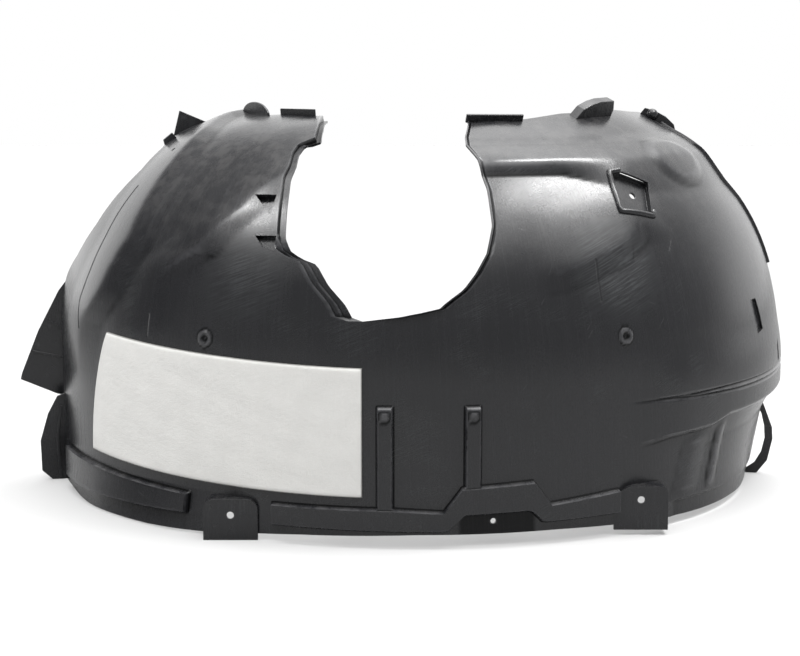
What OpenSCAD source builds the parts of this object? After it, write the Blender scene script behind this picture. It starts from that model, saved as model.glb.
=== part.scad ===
// Wheel arch liner, one moulded shell with a glued felt pad.
// It lies on its lip edge: X runs along the car, Z is the inboard direction, the crown faces -Y.

/* [Arch] */
// Radius of the cylindrical arch wall
arch_r = 455; // [420:5:500]
// Thickness of the moulded wall
wall_t = 2.6; // [2:0.2:4]
// Angle from the crown to the left end of the liner
left_span = 79; // [74:1:84]
// Angle from the crown to the right end of the liner
right_span = 78; // [72:1:84]
// Extra radius that the right half gains towards its end
right_swell = 14; // [0:1:20]

/* [Dome] */
// Height at which the left half starts to curve inboard
left_spring = 185; // [175:5:195]
// Height at which the right half starts to curve inboard
right_spring = 169; // [165:2:185]
// Radial reach of the left dome
left_reach = 262; // [240:2:280]
// Radial reach of the right dome
right_reach = 292; // [270:2:310]
// Height of the left dome above its spring line
left_rise = 272; // [250:1:280]
// Height of the right dome above its spring line
right_rise = 312; // [295:1:325]
// Height of the soft shoulder along the right wing
shoulder_h = 7; // [0:1:12]
// How far the foot of the right end leans in towards the wheel
toe_in = 34; // [0:2:44]
// How far the lip of the left half flares out
left_flare = 12; // [0:1:16]
// Height of the soft folds of the left half
left_fold = 6; // [0:1:9]
// Height of the curved fold of the right wing
right_fold = 4; // [0:1:6]
// Height of the shallow bulge near the right end
bulge_h = 6; // [0:1:9]

/* [Lip channel and ribs] */
// How far the lip channel stands proud of the wall
channel_h = 8; // [4:1:12]
// How far the upright ribs stand proud of the wall
rib_h = 7; // [4:1:12]
// Height of the top of the upright ribs
rib_top = 156; // [152:1:165]
// Width of an upright rib on the wall
rib_w = 17; // [12:1:22]
// Depth of the step on the right wall
step_h = 5; // [2:0.5:8]
// Depth of the long groove on the right wall
groove_d = 2; // [0.5:0.5:3]
// Width of the sloping side of a rib or channel
side_w = 3; // [2:0.5:4]
// Diameter of the button on each upright rib
button_d = 9; // [6:1:11]
// Height of the button on each upright rib
button_h = 2; // [1:0.5:4]

/* [Strut cut-out] */
// Height of the lowest point of the cut-out
cut_floor = 246; // [240:1:252]
// Height of the cut-out's two sides, from its floor to the foot of the top edge's band
wing_h = 222; // [210:1:232]
// Height of the top edge's band
band_h = 122; // [110:1:130]
// Width of each ledge beside the cut-out
ledge_w = 8; // [5:1:10]
// Drop of each ledge beside the cut-out
ledge_d = 4; // [2:0.5:6]
// Height of the raised lip on the right edge of the cut-out
rim_h = 2.5; // [1:0.5:4]

/* [Lip tabs] */
// Diameter of the clip holes in the lip tabs
tab_hole_d = 8; // [6:0.5:10]
// Distance from the crown line to the left clip hole
left_tab_x = 204; // [198:1:210]
// Height of the left clip hole above the floor
left_hole_z = 28; // [24:1:32]
// Height of the left lip tab above the floor
left_tab_top = 46; // [42:1:52]
// Distance from the crown line to the right clip hole
right_tab_x = 249; // [244:1:254]
// Height of the right clip hole above the floor
right_hole_z = 40; // [36:1:44]
// Height of the right lip tab above the floor
right_tab_top = 55; // [52:1:60]
// Height of the foot of the right lip tab above the floor
right_tab_low = 6; // [0:1:10]
// Width of a lip tab
tab_w = 60; // [50:1:66]
// Thickness of a lip tab
tab_t = 3; // [2.5:0.5:5]

/* [Clip pad, pockets and holes] */
// Size of the lozenge clip recess on the right wing
pad_side = 46; // [36:1:50]
// Depth of the lozenge clip recess
pad_depth = 5; // [3:0.5:8]
// Diameter of the hole in the lozenge clip recess
pad_hole_d = 8; // [6:0.5:10]
// Depth of the two pockets beside the cut-out
pocket_depth = 7; // [4:0.5:10]
// Diameter of the small holes in the lip and the wings
small_hole_d = 6; // [4:0.5:8]
// Diameter of the two round locating dimples
dimple_d = 20; // [14:1:26]
// Height of the two round locating dimples
dimple_h = 2; // [1:0.5:4]

/* [End flanges] */
// Thickness of the end flanges
flange_t = 3; // [2.5:0.5:5]
// How far the left wing plate reaches past the wall
wing_reach = 53; // [40:1:60]
// How far the left foot reaches past the wall
foot_reach = 32; // [18:1:36]
// Width of the right strap
strap_w = 11; // [8:1:14]
// Height of the stiffening lips along the top edges
lip_h = 8; // [4:1:12]
// Height of the lug on the left wing's top edge
lug_h = 16; // [8:1:20]
// Height of the boss on the right wing's top edge
boss_h = 20; // [12:1:24]

/* [Felt pad] */
// Thickness of the felt
felt_t = 4; // [3:0.5:6]
// Glue gap between the felt and the wall
felt_gap = 0.3; // [0.2:0.1:0.6]
// Angle from the crown to the right edge of the felt
felt_right = 7.4; // [7:0.2:12]
// Angle from the crown to the lower left corner of the felt
felt_left = 56.5; // [50:0.5:60]
// Height of the lower edge of the felt at its right end
felt_low = 55; // [52:1:60]
// Height of the upper edge of the felt at its right end
felt_high = 196; // [180:1:205]

/* [Hidden] */
plastic = [0.21, 0.22, 0.23];
felt_white = [0.86, 0.86, 0.84];
mm_per_deg = arch_r * PI / 180;
side_a = side_w / mm_per_deg / 2;
ledge_a = ledge_w / mm_per_deg;
rib_a = rib_w / mm_per_deg / 2;
rib_1 = -4.3;
rib_2 = 7.6;
bar_start = -68.4;
bar_end = -33.6;
band_start = -20.2;
band_end = 29.2;
step_start = 30;
step_full = 42;
toe_start = 34;
cut_mid = -7.4;
warp_left = -50;
warp_right = 45;
fit_left = -56;
fit_right = 62;
shoulder_at = 440;
shoulder_fade = 55;
band_foot = cut_floor + wing_h;
// The tables below are drawn with the cut-out's floor, the band's foot and the band's top at these heights.
DRAWN = [246, 468, 590];
function raised(h) = h < DRAWN[1]
    ? cut_floor + (h - DRAWN[0]) * wing_h / (DRAWN[1] - DRAWN[0])
    : band_foot + (h - DRAWN[1]) * band_h / (DRAWN[2] - DRAWN[1]);
function by_height(table) = [for (p = table) [raised(p[0]), p[1]]];
function by_angle(table) = [for (p = table) [p[0], raised(p[1])]];
flare_top = 50;
// Share of the toe-in by height over the step's height.
TOE = [[0, 1], [0.79, 0.5], [1.04, 0]];

// Height of the lip edge, of the channel's two edges and of the right step, by angle from the crown.
LIP = [[-79, 0], [-61, 1], [-41, 1], [-31, 3], [-16, 10], [0, 14], [20, 13.5], [38, 10], [57, 8], [78, 0]];
CHANNEL_LOW = [
    [-79, 15], [bar_start, 15], [bar_end, 22], [-20, 20], [4, 18], [6.5, 36], [15.7, 38], [17.5, 24],
    [29, 26], [78, 28]];
CHANNEL_HIGH = [
    [-79, 53], [bar_start, 53], [bar_end, 44], [-3, 43], [3.6, 40], [6.1, 66], [16.1, 70], [18.6, 44],
    [29, 52], [78, 60]];
STEP = [[-79, 100], [30, 94], [38, 104], [47, 108], [51, 116], [78, 120]];
// Top edge of the two wings, and the two sides of the cut-out by height.
TOP = by_angle([[-79, 575], [-37, 590], [-20, 590], [0, 534], [25, 528], [38, 541], [60, 548], [78, 536]]);
CUT_LEFT = by_height([
    [DRAWN[0], cut_mid], [248, -8.9], [260, -9.8], [266, -10.3], [286, -12.8], [310, -14.9],
    [316, -17.2], [324, -19.2], [340, -20.5], [362, -21.1], [380, -21.6], [401, -22.2], [420, -22.8],
    [444, -23.2], [DRAWN[1], -24.2], [480, -24.2], [492, -21.6], [520, -24.4], [DRAWN[2], -34]]);
CUT_RIGHT = by_height([
    [DRAWN[0], cut_mid], [250, -2.9], [259, 3], [266, 4], [280, 6.5], [297, 8.3], [320, 10.2],
    [354, 11.6], [402, 11.8], [440, 11], [DRAWN[1], 9.6], [494, 10], [536, 11.8]]);
// How many degrees each end is cut back, by height.
LEFT_BACK = by_height([
    [DRAWN[0], 0], [262, 2.5], [286, 6.8], [332, 11], [360, 12], [392, 13], [418, 13.3], [459, 10],
    [500, 2], [530, 0]]);
RIGHT_BACK = by_height([[DRAWN[0], 0], [360, 0.5], [410, 4.5], [446, 5.5], [480, 3], [520, 0]]);
// The folds: the left ones as angle by height, the right one as height by angle.
LEFT_FOLD = [
    [60, -63], [160, -62], [216, -59.9], [256, -55.2], [322, -51.2], [379, -52.1], [420, -52.9], [448, -54],
    [480, -56.6], [510, -60], [560, -70]];
WALL_FOLD = [[286, -40.8], [317, -35.3], [346, -32.6], [373, -29], [392, -28], [424, -24.4]];
RIGHT_FOLD = [[21.2, 300], [26.8, 312], [33, 330], [37.7, 353]];

function smooth(t) = let (c = min(1, max(0, t))) c * c * (3 - 2 * c);
function blend_lr(l, r, a) = l + (r - l) * smooth((a + 20) / 40);
function wall_r(a) = arch_r + right_swell * smooth((a - 15) / 50);
function reach(a) = blend_lr(left_reach, right_reach, a);
function rise(a) = blend_lr(left_rise, right_rise, a);
function spring(a) = blend_lr(left_spring, right_spring, a);
// Angle around the dome's ellipse at arc height h, 0 on the upright wall.
function dome_t(a, h) = max(0, (h - spring(a)) / rise(a) * 180 / PI);
// Tilt of the outward normal above the horizontal.
function tilt(a, h) = let (t = dome_t(a, h)) atan2(reach(a) * sin(t), rise(a) * cos(t));
// A point of the wall: angle a from the crown, arc height h, off outwards along the normal.
function wall_pt(a, h, off = 0) =
    let (t = dome_t(a, h), n = tilt(a, h))
    let (r = wall_r(a) - reach(a) * (1 - cos(t)) + off * cos(n))
    let (z = (h < spring(a) ? h : spring(a) + rise(a) * sin(t)) + off * sin(n))
    [r * sin(a), -r * cos(a), z];

function steps(from, to, n) = [for (i = [0:n-1]) from + (to - from) * i / n];
function sides(at) = [at - side_a, at + side_a];

// Columns of the shell's grid, with a pair at each side wall of a rib or channel.
COLUMNS = concat(
    steps(-left_span, bar_start - side_a, 3),
    sides(bar_start), steps(bar_start + 4, bar_end - 1, 8), sides(bar_end),
    steps(bar_end + 3, band_start - 1, 3), sides(band_start), steps(band_start + 3, cut_mid - 3.2, 3),
    [cut_mid - 2 * ledge_a - side_a, cut_mid - 2 * ledge_a],
    [cut_mid - ledge_a - side_a, cut_mid - ledge_a, cut_mid],
    sides(rib_1 - rib_a), sides(rib_1 + rib_a), [cut_mid + 7.4, 3.6],
    sides(rib_2 - rib_a), sides(rib_2 + rib_a),
    [12.5, 16.1, 18.6], steps(22, band_end - 1, 2), sides(band_end), steps(step_start + 2, step_full, 4),
    steps(step_full, right_span, 10), [right_span]);
mid_col = search(cut_mid, COLUMNS)[0];
last_col = len(COLUMNS) - 1;

// Rows of the grid, each as [height at angle a, name of the level].
LOW_ROWS = 20;
HIGH = [
    for (h = [248, 252, 259, 266, 276, 286, 298, 310, 324, 340, 360, 380, 400, 413, 426, 440, 454, 468])
        raised(h)];
CAP_ROWS = 5;
ROWS = LOW_ROWS + len(HIGH) + CAP_ROWS;
// The long groove runs this far below the rib tops, with a row at each of its edges.
groove_drop = 11.25;
GROOVE_ROWS = [-14.75, -3.75, -1.25, 1.25, 3.75];
function level(a, k) =
    k == 0 ? lookup(a, LIP) :
    k == 1 ? lookup(a, CHANNEL_LOW) - side_w / 2 :
    k == 2 ? lookup(a, CHANNEL_LOW) + side_w / 2 :
    k == 3 ? lookup(a, CHANNEL_HIGH) - side_w / 2 :
    k == 4 ? lookup(a, CHANNEL_HIGH) + side_w / 2 :
    k == 5 ? (lookup(a, CHANNEL_HIGH) + lookup(a, STEP)) / 2 :
    k == 6 ? lookup(a, STEP) - side_w :
    k == 7 ? lookup(a, STEP) + side_w :
    k < 13 ? rib_top - groove_drop + GROOVE_ROWS[k - 8] :
    k == 13 ? rib_top - side_w : k == 14 ? rib_top :
    k < LOW_ROWS ? rib_top + (cut_floor - rib_top) * (k - 14) / (LOW_ROWS - 15) :
    k < LOW_ROWS + len(HIGH) ? HIGH[k - LOW_ROWS] :
    band_foot + (lookup(a, TOP) - band_foot) * (k - LOW_ROWS - len(HIGH) + 1) / CAP_ROWS;

// Where a column runs beside the cut-out: it keeps its distance near the edge and fans out further away.
function beside(a, h, edge, far, keep) =
    abs(a - cut_mid) <= keep ? edge + a - cut_mid :
    abs(a) >= abs(far) && sign(a) == sign(far) ? a :
    let (s = sign(far), near = cut_mid + s * keep, goal = edge + s * keep)
    far + (a - far) * (goal - far) / (near - far);

function is_in(v, lo, hi) = v > lo - 0.001 && v < hi + 0.001;
function on_rib(a, at) = is_in(a, at - rib_a + side_a, at + rib_a - side_a);
function on_run(a, from, to) = is_in(a, from + side_a, to - side_a);
function on_channel(a) = on_run(a, bar_start, bar_end) || on_run(a, band_start, band_end);
// Height of the moulded relief over the plain wall, by nominal angle a, row k and arc height h.
function relief(a, k, h) =
    let (rib = on_rib(a, rib_1) || on_rib(a, rib_2))
    let (channel = on_channel(a) && (k == 2 || k == 3) ? channel_h : 0)
    let (upright = rib && k >= 3 && k <= 13 ? rib_h : 0)
    let (share = smooth((a - step_start) / (step_full - step_start)))
    let (step = k >= 7 && k <= 10 ? step_h * share : k > 10 && k <= 18 ? step_h * share * (18 - k) / 8 : 0)
    let (groove = k == 10 || k == 11 ? -groove_d * share : 0)
    let (shoulder = a > cut_mid ? shoulder_h * max(0, 1 - abs(h - shoulder_at) / shoulder_fade) : 0)
    let (toe = toe_in * smooth((a - toe_start) / (right_span - toe_start)) * lookup(h / lookup(a, STEP), TOE))
    let (flare = left_flare * between(-a, 20, 52, 18) * max(0, 1 - h / flare_top))
    max(channel, upright) + step + groove + shoulder + flare - toe;
function ridge(d, w) = max(0, 1 - abs(d) / w);
function between(v, lo, hi, fade) = smooth((v - lo) / fade) * (1 - smooth((v - hi) / fade));
// Height of the soft folds and the bulge, at the real angle b and arc height h.
function fold(b, h) =
    left_fold * ridge((b - lookup(h, LEFT_FOLD)) * mm_per_deg, 46) * smooth((h - 120) / 80)
    + 0.8 * left_fold * ridge((b - lookup(h, WALL_FOLD)) * mm_per_deg, 40) * between(h, 270, 410, 40)
    + right_fold * ridge(h - lookup(b, RIGHT_FOLD), 34) * between(b, 16, 36, 8)
    + bulge_h * (1 - smooth((norm([(b - 56) / 9.5, (h - 436) / 46]) - 0.55) / 0.45));
function ledge(a, k) =
    k < LOW_ROWS ? 0 :
    a < cut_mid + 0.001 && a > cut_mid - ledge_a - 0.001 ? -2 * ledge_d :
    a < cut_mid && a > cut_mid - 2 * ledge_a - 0.001 ? -ledge_d : 0;

// The columns near each end, drawn back to the end's cut line.
function end_fit(b, h) =
    b < fit_left ? fit_left + (b - fit_left) * (1 - lookup(h, LEFT_BACK) / (left_span + fit_left)) :
    b > fit_right ? fit_right + (b - fit_right) * (1 - lookup(h, RIGHT_BACK) / (right_span - fit_right)) : b;

// One grid point. side is -1 left of the cut-out, 1 right of it and 0 below it.
function grid_pt(i, k, side, off) =
    let (a = COLUMNS[i], h = level(a, k))
    let (b = side < 0 ? beside(a, h, lookup(h, CUT_LEFT), warp_left, 3) :
        side > 0 ? beside(a, h, lookup(h, CUT_RIGHT), warp_right, 1) : a)
    let (rim = side > 0 && i == mid_col ? rim_h : 0)
    let (c = end_fit(b, h), height = level(c, k))
    let (relief_off = relief(a, k, h) + fold(c, height) + (side < 0 ? ledge(a, k) : 0) + rim)
    wall_pt(c, height, off + relief_off);

// The shell's grid: a lower block, and a left and a right block above it that share its top row.
low_n = LOW_ROWS;
high_n = ROWS - LOW_ROWS;
low_count = (last_col + 1) * low_n;
left_count = (mid_col + 1) * high_n;
right_count = (last_col - mid_col + 1) * high_n;
side_count = low_count + left_count + right_count;
// Index of a grid point: layer 0 outside and 1 inside, side -1, 0 or 1.
function at(layer, side, i, k) = layer * side_count + (
    k < LOW_ROWS ? i * low_n + k :
    side < 0 ? low_count + i * high_n + k - LOW_ROWS :
    low_count + left_count + (i - mid_col) * high_n + k - LOW_ROWS);
function both(p, q, r, s) = [[p, q, r], [p, r, s]];
// The two skins of one patch, columns i0 to i1 and rows k0 to k1.
function skins(side, i0, i1, k0, k1) = [for (i = [i0:i1-1]) for (k = [k0:k1-1])
    each concat(
        both(at(0, side, i, k), at(0, side, i, k + 1), at(0, side, i + 1, k + 1), at(0, side, i + 1, k)),
        both(at(1, side, i, k), at(1, side, i + 1, k), at(1, side, i + 1, k + 1), at(1, side, i, k + 1)))];
// The wall's edge along row k or along column i.
function row_edge(side, i0, i1, k, up) = [for (i = [i0:i1-1]) each up
    ? both(at(0, side, i, k), at(1, side, i, k), at(1, side, i + 1, k), at(0, side, i + 1, k))
    : both(at(0, side, i, k), at(0, side, i + 1, k), at(1, side, i + 1, k), at(1, side, i, k))];
function col_edge(side, i, k0, k1, right) = [for (k = [k0:k1-1]) each right
    ? both(at(0, side, i, k), at(0, side, i, k + 1), at(1, side, i, k + 1), at(1, side, i, k))
    : both(at(0, side, i, k), at(1, side, i, k), at(1, side, i, k + 1), at(0, side, i, k + 1))];

module arch_wall() {
    top = ROWS - 1;
    points = [for (off = [0, -wall_t]) each concat(
        [for (i = [0:last_col]) for (k = [0:LOW_ROWS-1]) grid_pt(i, k, 0, off)],
        [for (i = [0:mid_col]) for (k = [LOW_ROWS:ROWS-1]) grid_pt(i, k, -1, off)],
        [for (i = [mid_col:last_col]) for (k = [LOW_ROWS:ROWS-1]) grid_pt(i, k, 1, off)])];
    faces = concat(
        skins(0, 0, last_col, 0, LOW_ROWS - 1),
        skins(-1, 0, mid_col, LOW_ROWS - 1, top), skins(1, mid_col, last_col, LOW_ROWS - 1, top),
        row_edge(0, 0, last_col, 0, false),
        row_edge(-1, 0, mid_col, top, true), row_edge(1, mid_col, last_col, top, true),
        col_edge(0, 0, 0, LOW_ROWS - 1, false), col_edge(0, last_col, 0, LOW_ROWS - 1, true),
        col_edge(-1, 0, LOW_ROWS - 1, top, false), col_edge(1, last_col, LOW_ROWS - 1, top, true),
        col_edge(-1, mid_col, LOW_ROWS - 1, top, true), col_edge(1, mid_col, LOW_ROWS - 1, top, false));
    polyhedron(points, faces, convexity = 8);
}

// Places children on the wall: Z outwards, X along the arch, Y up the wall.
module on_wall(a, h) {
    p = wall_pt(a, h);
    translate(p) rotate([0, 0, a]) rotate([90 - tilt(a, h), 0, 0]) children();
}

module wall_hole(place, d) {
    on_wall(place[0], place[1]) translate([0, 0, -20]) cylinder(d = d, h = 40, $fn = 24);
}

// Front face of a lip tab: the nearest point of the wall over its width, and the tab's own thickness.
function tab_front(x) = sqrt(pow(wall_r(0), 2) - pow(abs(x) - tab_w / 2, 2)) + tab_t;
tab_depth = 115;
tab_back = arch_r - tab_depth;
// Radii of a tab's left and right shoulder.
LEFT_TAB_R = [12, 12];
RIGHT_TAB_R = [22, 8];
function arc(x, y, r, from, to) = [for (t = [from:(to - from) / 6:to]) [x + r * cos(t), y + r * sin(t)]];
// The block of a lip tab, inset by its thickness for its inside.
module tab_block(x, low, top, shoulders, inset) {
    half = tab_w / 2 - inset;
    front = tab_front(x) - inset;
    y = top - inset;
    translate([x, -tab_back, 0]) rotate([90, 0, 0]) linear_extrude(height = front - tab_back) polygon(concat(
        [[-half, low], [half, low]],
        arc(half - shoulders[1], y - shoulders[1], shoulders[1], 0, 90),
        arc(shoulders[0] - half, y - shoulders[0], shoulders[0], 90, 180)));
}
module lip_tab(x, low, top, shoulders, hole_z) {
    difference() {
        tab_block(x, low, top, shoulders, 0);
        tab_block(x, low - 1, top, shoulders, tab_t);
        translate([0, 0, -1]) cylinder(r = arch_r - wall_t, h = top + 2, $fn = 120);
        translate([x, -tab_back, hole_z]) rotate([90, 0, 0])
            cylinder(d = tab_hole_d, h = tab_depth, $fn = 24);
    }
}

// A recess moulded into the wall: the outer block, a little wider than the opening, and the opening itself.
function grow(points, d) = [for (p = points) p + d * p / norm(p)];
module recess_block(place, points, depth) {
    on_wall(place[0], place[1]) translate([0, 0, -depth - wall_t])
        linear_extrude(height = depth + wall_t - 1.5) polygon(grow(points, 3));
}
module recess_open(place, points, depth) {
    on_wall(place[0], place[1]) translate([0, 0, -depth]) linear_extrude(height = depth + 20) polygon(points);
}
// Places of the small forms, as angle from the crown and arc height.
PAD_AT = [39.4, raised(390)];
POCKET_1_AT = [-25.2, raised(382)];
POCKET_2_AT = [-23.4, raised(331)];
DIMPLES_AT = [[-30.9, 219], [30.4, 222]];
SMALL_HOLES_AT = [[-58.8, raised(454)], [10.5, 28]];
SLOT_AT = [61, 221];
END_SLOT_AT = [71.5, 166];
button_drop = 11;
PAD = [for (p = [[-23, 27], [-7, 28], [27, 12], [8, -29], [-31, -22]]) p * pad_side / 46];
POCKET_1 = [[-17, 9], [9, 11], [10, -16]];
POCKET_2 = [[-14, 8], [12, 9], [13, -9], [-1, -5]];
module dimple(place) {
    on_wall(place[0], place[1]) translate([0, 0, -1])
        cylinder(d1 = dimple_d, d2 = dimple_d - 4, h = 1 + dimple_h, $fn = 24);
}

// A flange in the upright plane through the wheel's axis at angle a: x outwards, y up.
module radial_plate(a, t) {
    rotate([0, 0, a - 90]) rotate([90, 0, 0]) translate([0, 0, -t / 2]) linear_extrude(height = t) children();
}
// Radius and height of the wall's middle at angle a and arc height h.
function wall_section(a, h) = let (p = wall_pt(a, h, -wall_t / 2)) [norm([p[0], p[1]]), p[2]];
left_end_a = -left_span + flange_t / mm_per_deg / 2;
foot_a = 5 - left_span;
foot_top = 106;
plate_low = 96;
plate_top = 250;
module left_end_flange() {
    far = arch_r + wing_reach;
    radial_plate(left_end_a, flange_t) polygon(concat(
        [for (h = [plate_top:-15:plate_low]) wall_section(left_end_a, h)],
        [[arch_r + 8, plate_low + 6], [far, plate_low + 26], [far - 2, plate_low + 34],
        [arch_r + wing_reach * 0.56, plate_low + 87], [arch_r + 3, plate_low + 138]]));
}
// The foot of the left end, a flange that stands out beside the lip.
module left_foot() {
    out = arch_r + foot_reach;
    radial_plate(foot_a, flange_t) polygon([
        [arch_r - 1, 0], [out - 14, 0], [out - 1, 12], [out, 50],
        [out - 10, 84], [arch_r + 10, foot_top], [arch_r - 1, foot_top + 4]]);
}
// The strap that arches outside the right end's leaning foot, in the plane of that end.
right_end_a = right_span - flange_t / mm_per_deg / 2;
module right_strap() {
    out = arch_r + right_swell - 2.5;
    radial_plate(right_end_a, flange_t) polygon([
        [out - 14, 94], [out - 1, 60], [out, 45], [out - 6, 17], [out - 19, 0], [out - 33, 0], [out - 33, 6],
        [out - strap_w - 11, 14], [out - strap_w - 3, 28], [out - strap_w + 1, 46], [out - strap_w, 62],
        [out - strap_w - 4, 78], [out - 24, 94]]);
}

// A thin plate that stands on the wall along the arch, drawn as [along, out].
module upstand(a, h, t, points) {
    on_wall(a, h) rotate([90, 0, 0]) linear_extrude(height = t) polygon(points);
}
// A thin plate that stands on the wall up its slope, drawn as [up, out].
module fin(a, h, t, points) {
    on_wall(a, h) rotate([90, 0, 90]) translate([0, 0, -t / 2]) linear_extrude(height = t) polygon(points);
}
root = -1.8;
lug_w = 36;
function top_h(a) = lookup(a, TOP) - 1.5;
// The lips, lug, boss and brackets along the top edges.
module top_edge_forms() {
    upstand(-40, top_h(-40), flange_t, [[-28, root], [28, root], [28, lip_h], [-28, lip_h]]);
    upstand(-60, top_h(-60), flange_t, concat([[-lug_w, root], [lug_w, root]],
        [for (t = [0:15:180]) [lug_w * cos(t), lug_h * sin(t)]]));
    upstand(18.5, top_h(18.5), flange_t,
        [[-35, root - 0.6], [35, root - 0.6], [35, lip_h - 1], [-35, lip_h]]);
    upstand(47.5, top_h(47.5), 4 * flange_t, [[-38, root - 1], [30, root - 1], [31, 9], [26, boss_h],
        [0, boss_h - 1], [-14, boss_h - 4], [-28, boss_h - 10]]);
    fin(-76, raised(508), flange_t, [[-23, root], [23, root], [-3, 25]]);
    fin(-70.5, raised(474), flange_t, [[-9, root], [9, root], [7, 8], [-7, 6]]);
    fin(76.5, raised(514), flange_t, [[-34, root], [18, root], [16, 8], [4, 11], [-12, 11], [-26, 7]]);
    on_wall(76, raised(518)) translate([0, 0, 5]) sphere(d = 15, $fn = 20);
}

slot_w = 20;
slot_l = 42;
slot_lean = 6;
// The slanted slot beside the right end.
module wall_slot() {
    on_wall(SLOT_AT[0], SLOT_AT[1]) translate([0, 0, -20]) linear_extrude(height = 40)
        polygon([[-slot_w / 2 - slot_lean, slot_l / 2], [slot_w / 2 - slot_lean, slot_l / 2],
            [slot_w / 2 + slot_lean, -slot_l / 2 + 4], [-slot_w / 2 + slot_lean, -slot_l / 2]]);
}
// The narrow opening beside the right end, over the long groove.
module end_slot() {
    on_wall(END_SLOT_AT[0], END_SLOT_AT[1]) translate([0, 0, -20]) linear_extrude(height = 40)
        polygon([[3, 16], [-5, 8], [-6, -14], [4, -9]]);
}

module liner_shell() {
    color(plastic)
    union() {
        difference() {
            union() {
                arch_wall();
                recess_block(PAD_AT, PAD, pad_depth);
                recess_block(POCKET_1_AT, POCKET_1, pocket_depth);
                recess_block(POCKET_2_AT, POCKET_2, pocket_depth);
                for (place = DIMPLES_AT) dimple(place);
                for (a = [rib_1, rib_2])
                    on_wall(a, rib_top - button_drop) cylinder(d = button_d, h = rib_h + button_h, $fn = 24);
                left_end_flange();
                left_foot();
            }
            recess_open(PAD_AT, PAD, pad_depth);
            recess_open(POCKET_1_AT, POCKET_1, pocket_depth);
            recess_open(POCKET_2_AT, POCKET_2, pocket_depth);
            wall_hole(PAD_AT, pad_hole_d);
            for (place = SMALL_HOLES_AT) wall_hole(place, small_hole_d);
            wall_slot();
            end_slot();
            tab_block(-left_tab_x, -1, left_tab_top, LEFT_TAB_R, tab_t);
            tab_block(right_tab_x, right_tab_low - 1, right_tab_top, RIGHT_TAB_R, tab_t);
        }
        lip_tab(-left_tab_x, 0, left_tab_top, LEFT_TAB_R, left_hole_z);
        lip_tab(right_tab_x, right_tab_low, right_tab_top, RIGHT_TAB_R, right_hole_z);
        right_strap();
        top_edge_forms();
    }
}

// The felt pad follows the wall at the glue gap.
felt_cols = 22;
felt_rows = 8;
function felt_pt(i, j, off) =
    let (u = i / felt_cols, v = j / felt_rows)
    let (a = -felt_right - (felt_left - felt_right - 5 * v * v) * u)
    let (low = felt_low + 11 * pow(u, 1.5), high = felt_high + 14 * pow(u, 1.3))
    wall_pt(a, low + (high - low) * v, felt_gap + off);
module felt_pad() {
    n = felt_rows + 1;
    m = (felt_cols + 1) * n;
    points = [for (off = [felt_t, 0]) for (i = [0:felt_cols]) for (j = [0:felt_rows]) felt_pt(i, j, off)];
    outer = [for (i = [0:felt_cols-1]) for (j = [0:felt_rows-1])
        let (p = i * n + j) each both(p, p + n, p + n + 1, p + 1)];
    inner = [for (f = outer) [f[0] + m, f[2] + m, f[1] + m]];
    rim = concat([for (j = [0:felt_rows]) j], [for (i = [1:felt_cols]) i * n + felt_rows],
        [for (j = [1:felt_rows]) felt_cols * n + felt_rows - j],
        [for (i = [1:felt_cols-1]) (felt_cols - i) * n]);
    edge = [for (k = [0:len(rim)-1])
        let (p = rim[k], q = rim[(k + 1) % len(rim)]) each both(p, q, q + m, p + m)];
    color(felt_white) polyhedron(points, concat(outer, inner, edge), convexity = 4);
}

liner_shell();
felt_pad();
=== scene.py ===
"""Wheel arch liner: the moulded shell, its clip tabs and flanges, and the glued felt pad."""
import math

import bmesh
import bpy
import numpy as np
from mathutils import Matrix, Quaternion, Vector


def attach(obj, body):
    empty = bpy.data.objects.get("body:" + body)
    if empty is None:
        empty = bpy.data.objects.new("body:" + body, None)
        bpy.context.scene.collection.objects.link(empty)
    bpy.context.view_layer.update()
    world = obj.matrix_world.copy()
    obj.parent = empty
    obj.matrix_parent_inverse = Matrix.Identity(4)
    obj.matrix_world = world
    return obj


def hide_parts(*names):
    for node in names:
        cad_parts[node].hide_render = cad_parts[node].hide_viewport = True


bl_info = {
    "name": "Wheel Arch Liner",
    "version": (1, 0, 0),
    "blender": (4, 5, 0),
    "location": "View3D > Sidebar > Arch Liner",
    "description": "Builds a moulded wheel arch liner with a felt pad, and the studio it stands in",
    "category": "Object",
}

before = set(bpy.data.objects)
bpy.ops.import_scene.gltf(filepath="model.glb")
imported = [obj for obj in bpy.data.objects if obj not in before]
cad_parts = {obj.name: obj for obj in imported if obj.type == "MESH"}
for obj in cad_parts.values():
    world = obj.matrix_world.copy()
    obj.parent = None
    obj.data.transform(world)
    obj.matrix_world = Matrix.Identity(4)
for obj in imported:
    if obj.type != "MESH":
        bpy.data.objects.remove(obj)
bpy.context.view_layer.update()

MM = 0.001
SHELL = "liner_shell"
FELT = "felt_pad"

# Heights in millimetres by angle from the crown in degrees: the lip edge, the lip channel's two edges and the
# step on the right wall. Then the top edge, the cut-out's floor and middle, the height above which the rows
# follow the top edge and how tall that cap is, and the cut-out's two sides as angles by height.
LIP = [(-79, 0), (-61, 1), (-41, 1), (-31, 3), (-16, 10), (0, 14), (20, 13.5), (38, 10), (57, 8), (78, 0)]
CHANNEL_LOW = [(-79, 15), (-68.4, 15), (-33.6, 22), (-20, 20), (4, 18), (6.5, 36), (15.7, 38), (17.5, 24),
               (29, 26), (78, 28)]
CHANNEL_HIGH = [(-79, 53), (-68.4, 53), (-33.6, 44), (-3, 43), (3.6, 40), (6.1, 66), (16.1, 70), (18.6, 44),
                (29, 52), (78, 60)]
STEP = [(-79, 100), (30, 94), (38, 104), (47, 108), (51, 116), (78, 120)]
TOP = [(-79, 575), (-37, 590), (-20, 590), (0, 534), (25, 528), (38, 541), (60, 548), (78, 536)]
CUT_FLOOR = 246
CUT_MID = -7.4
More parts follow.
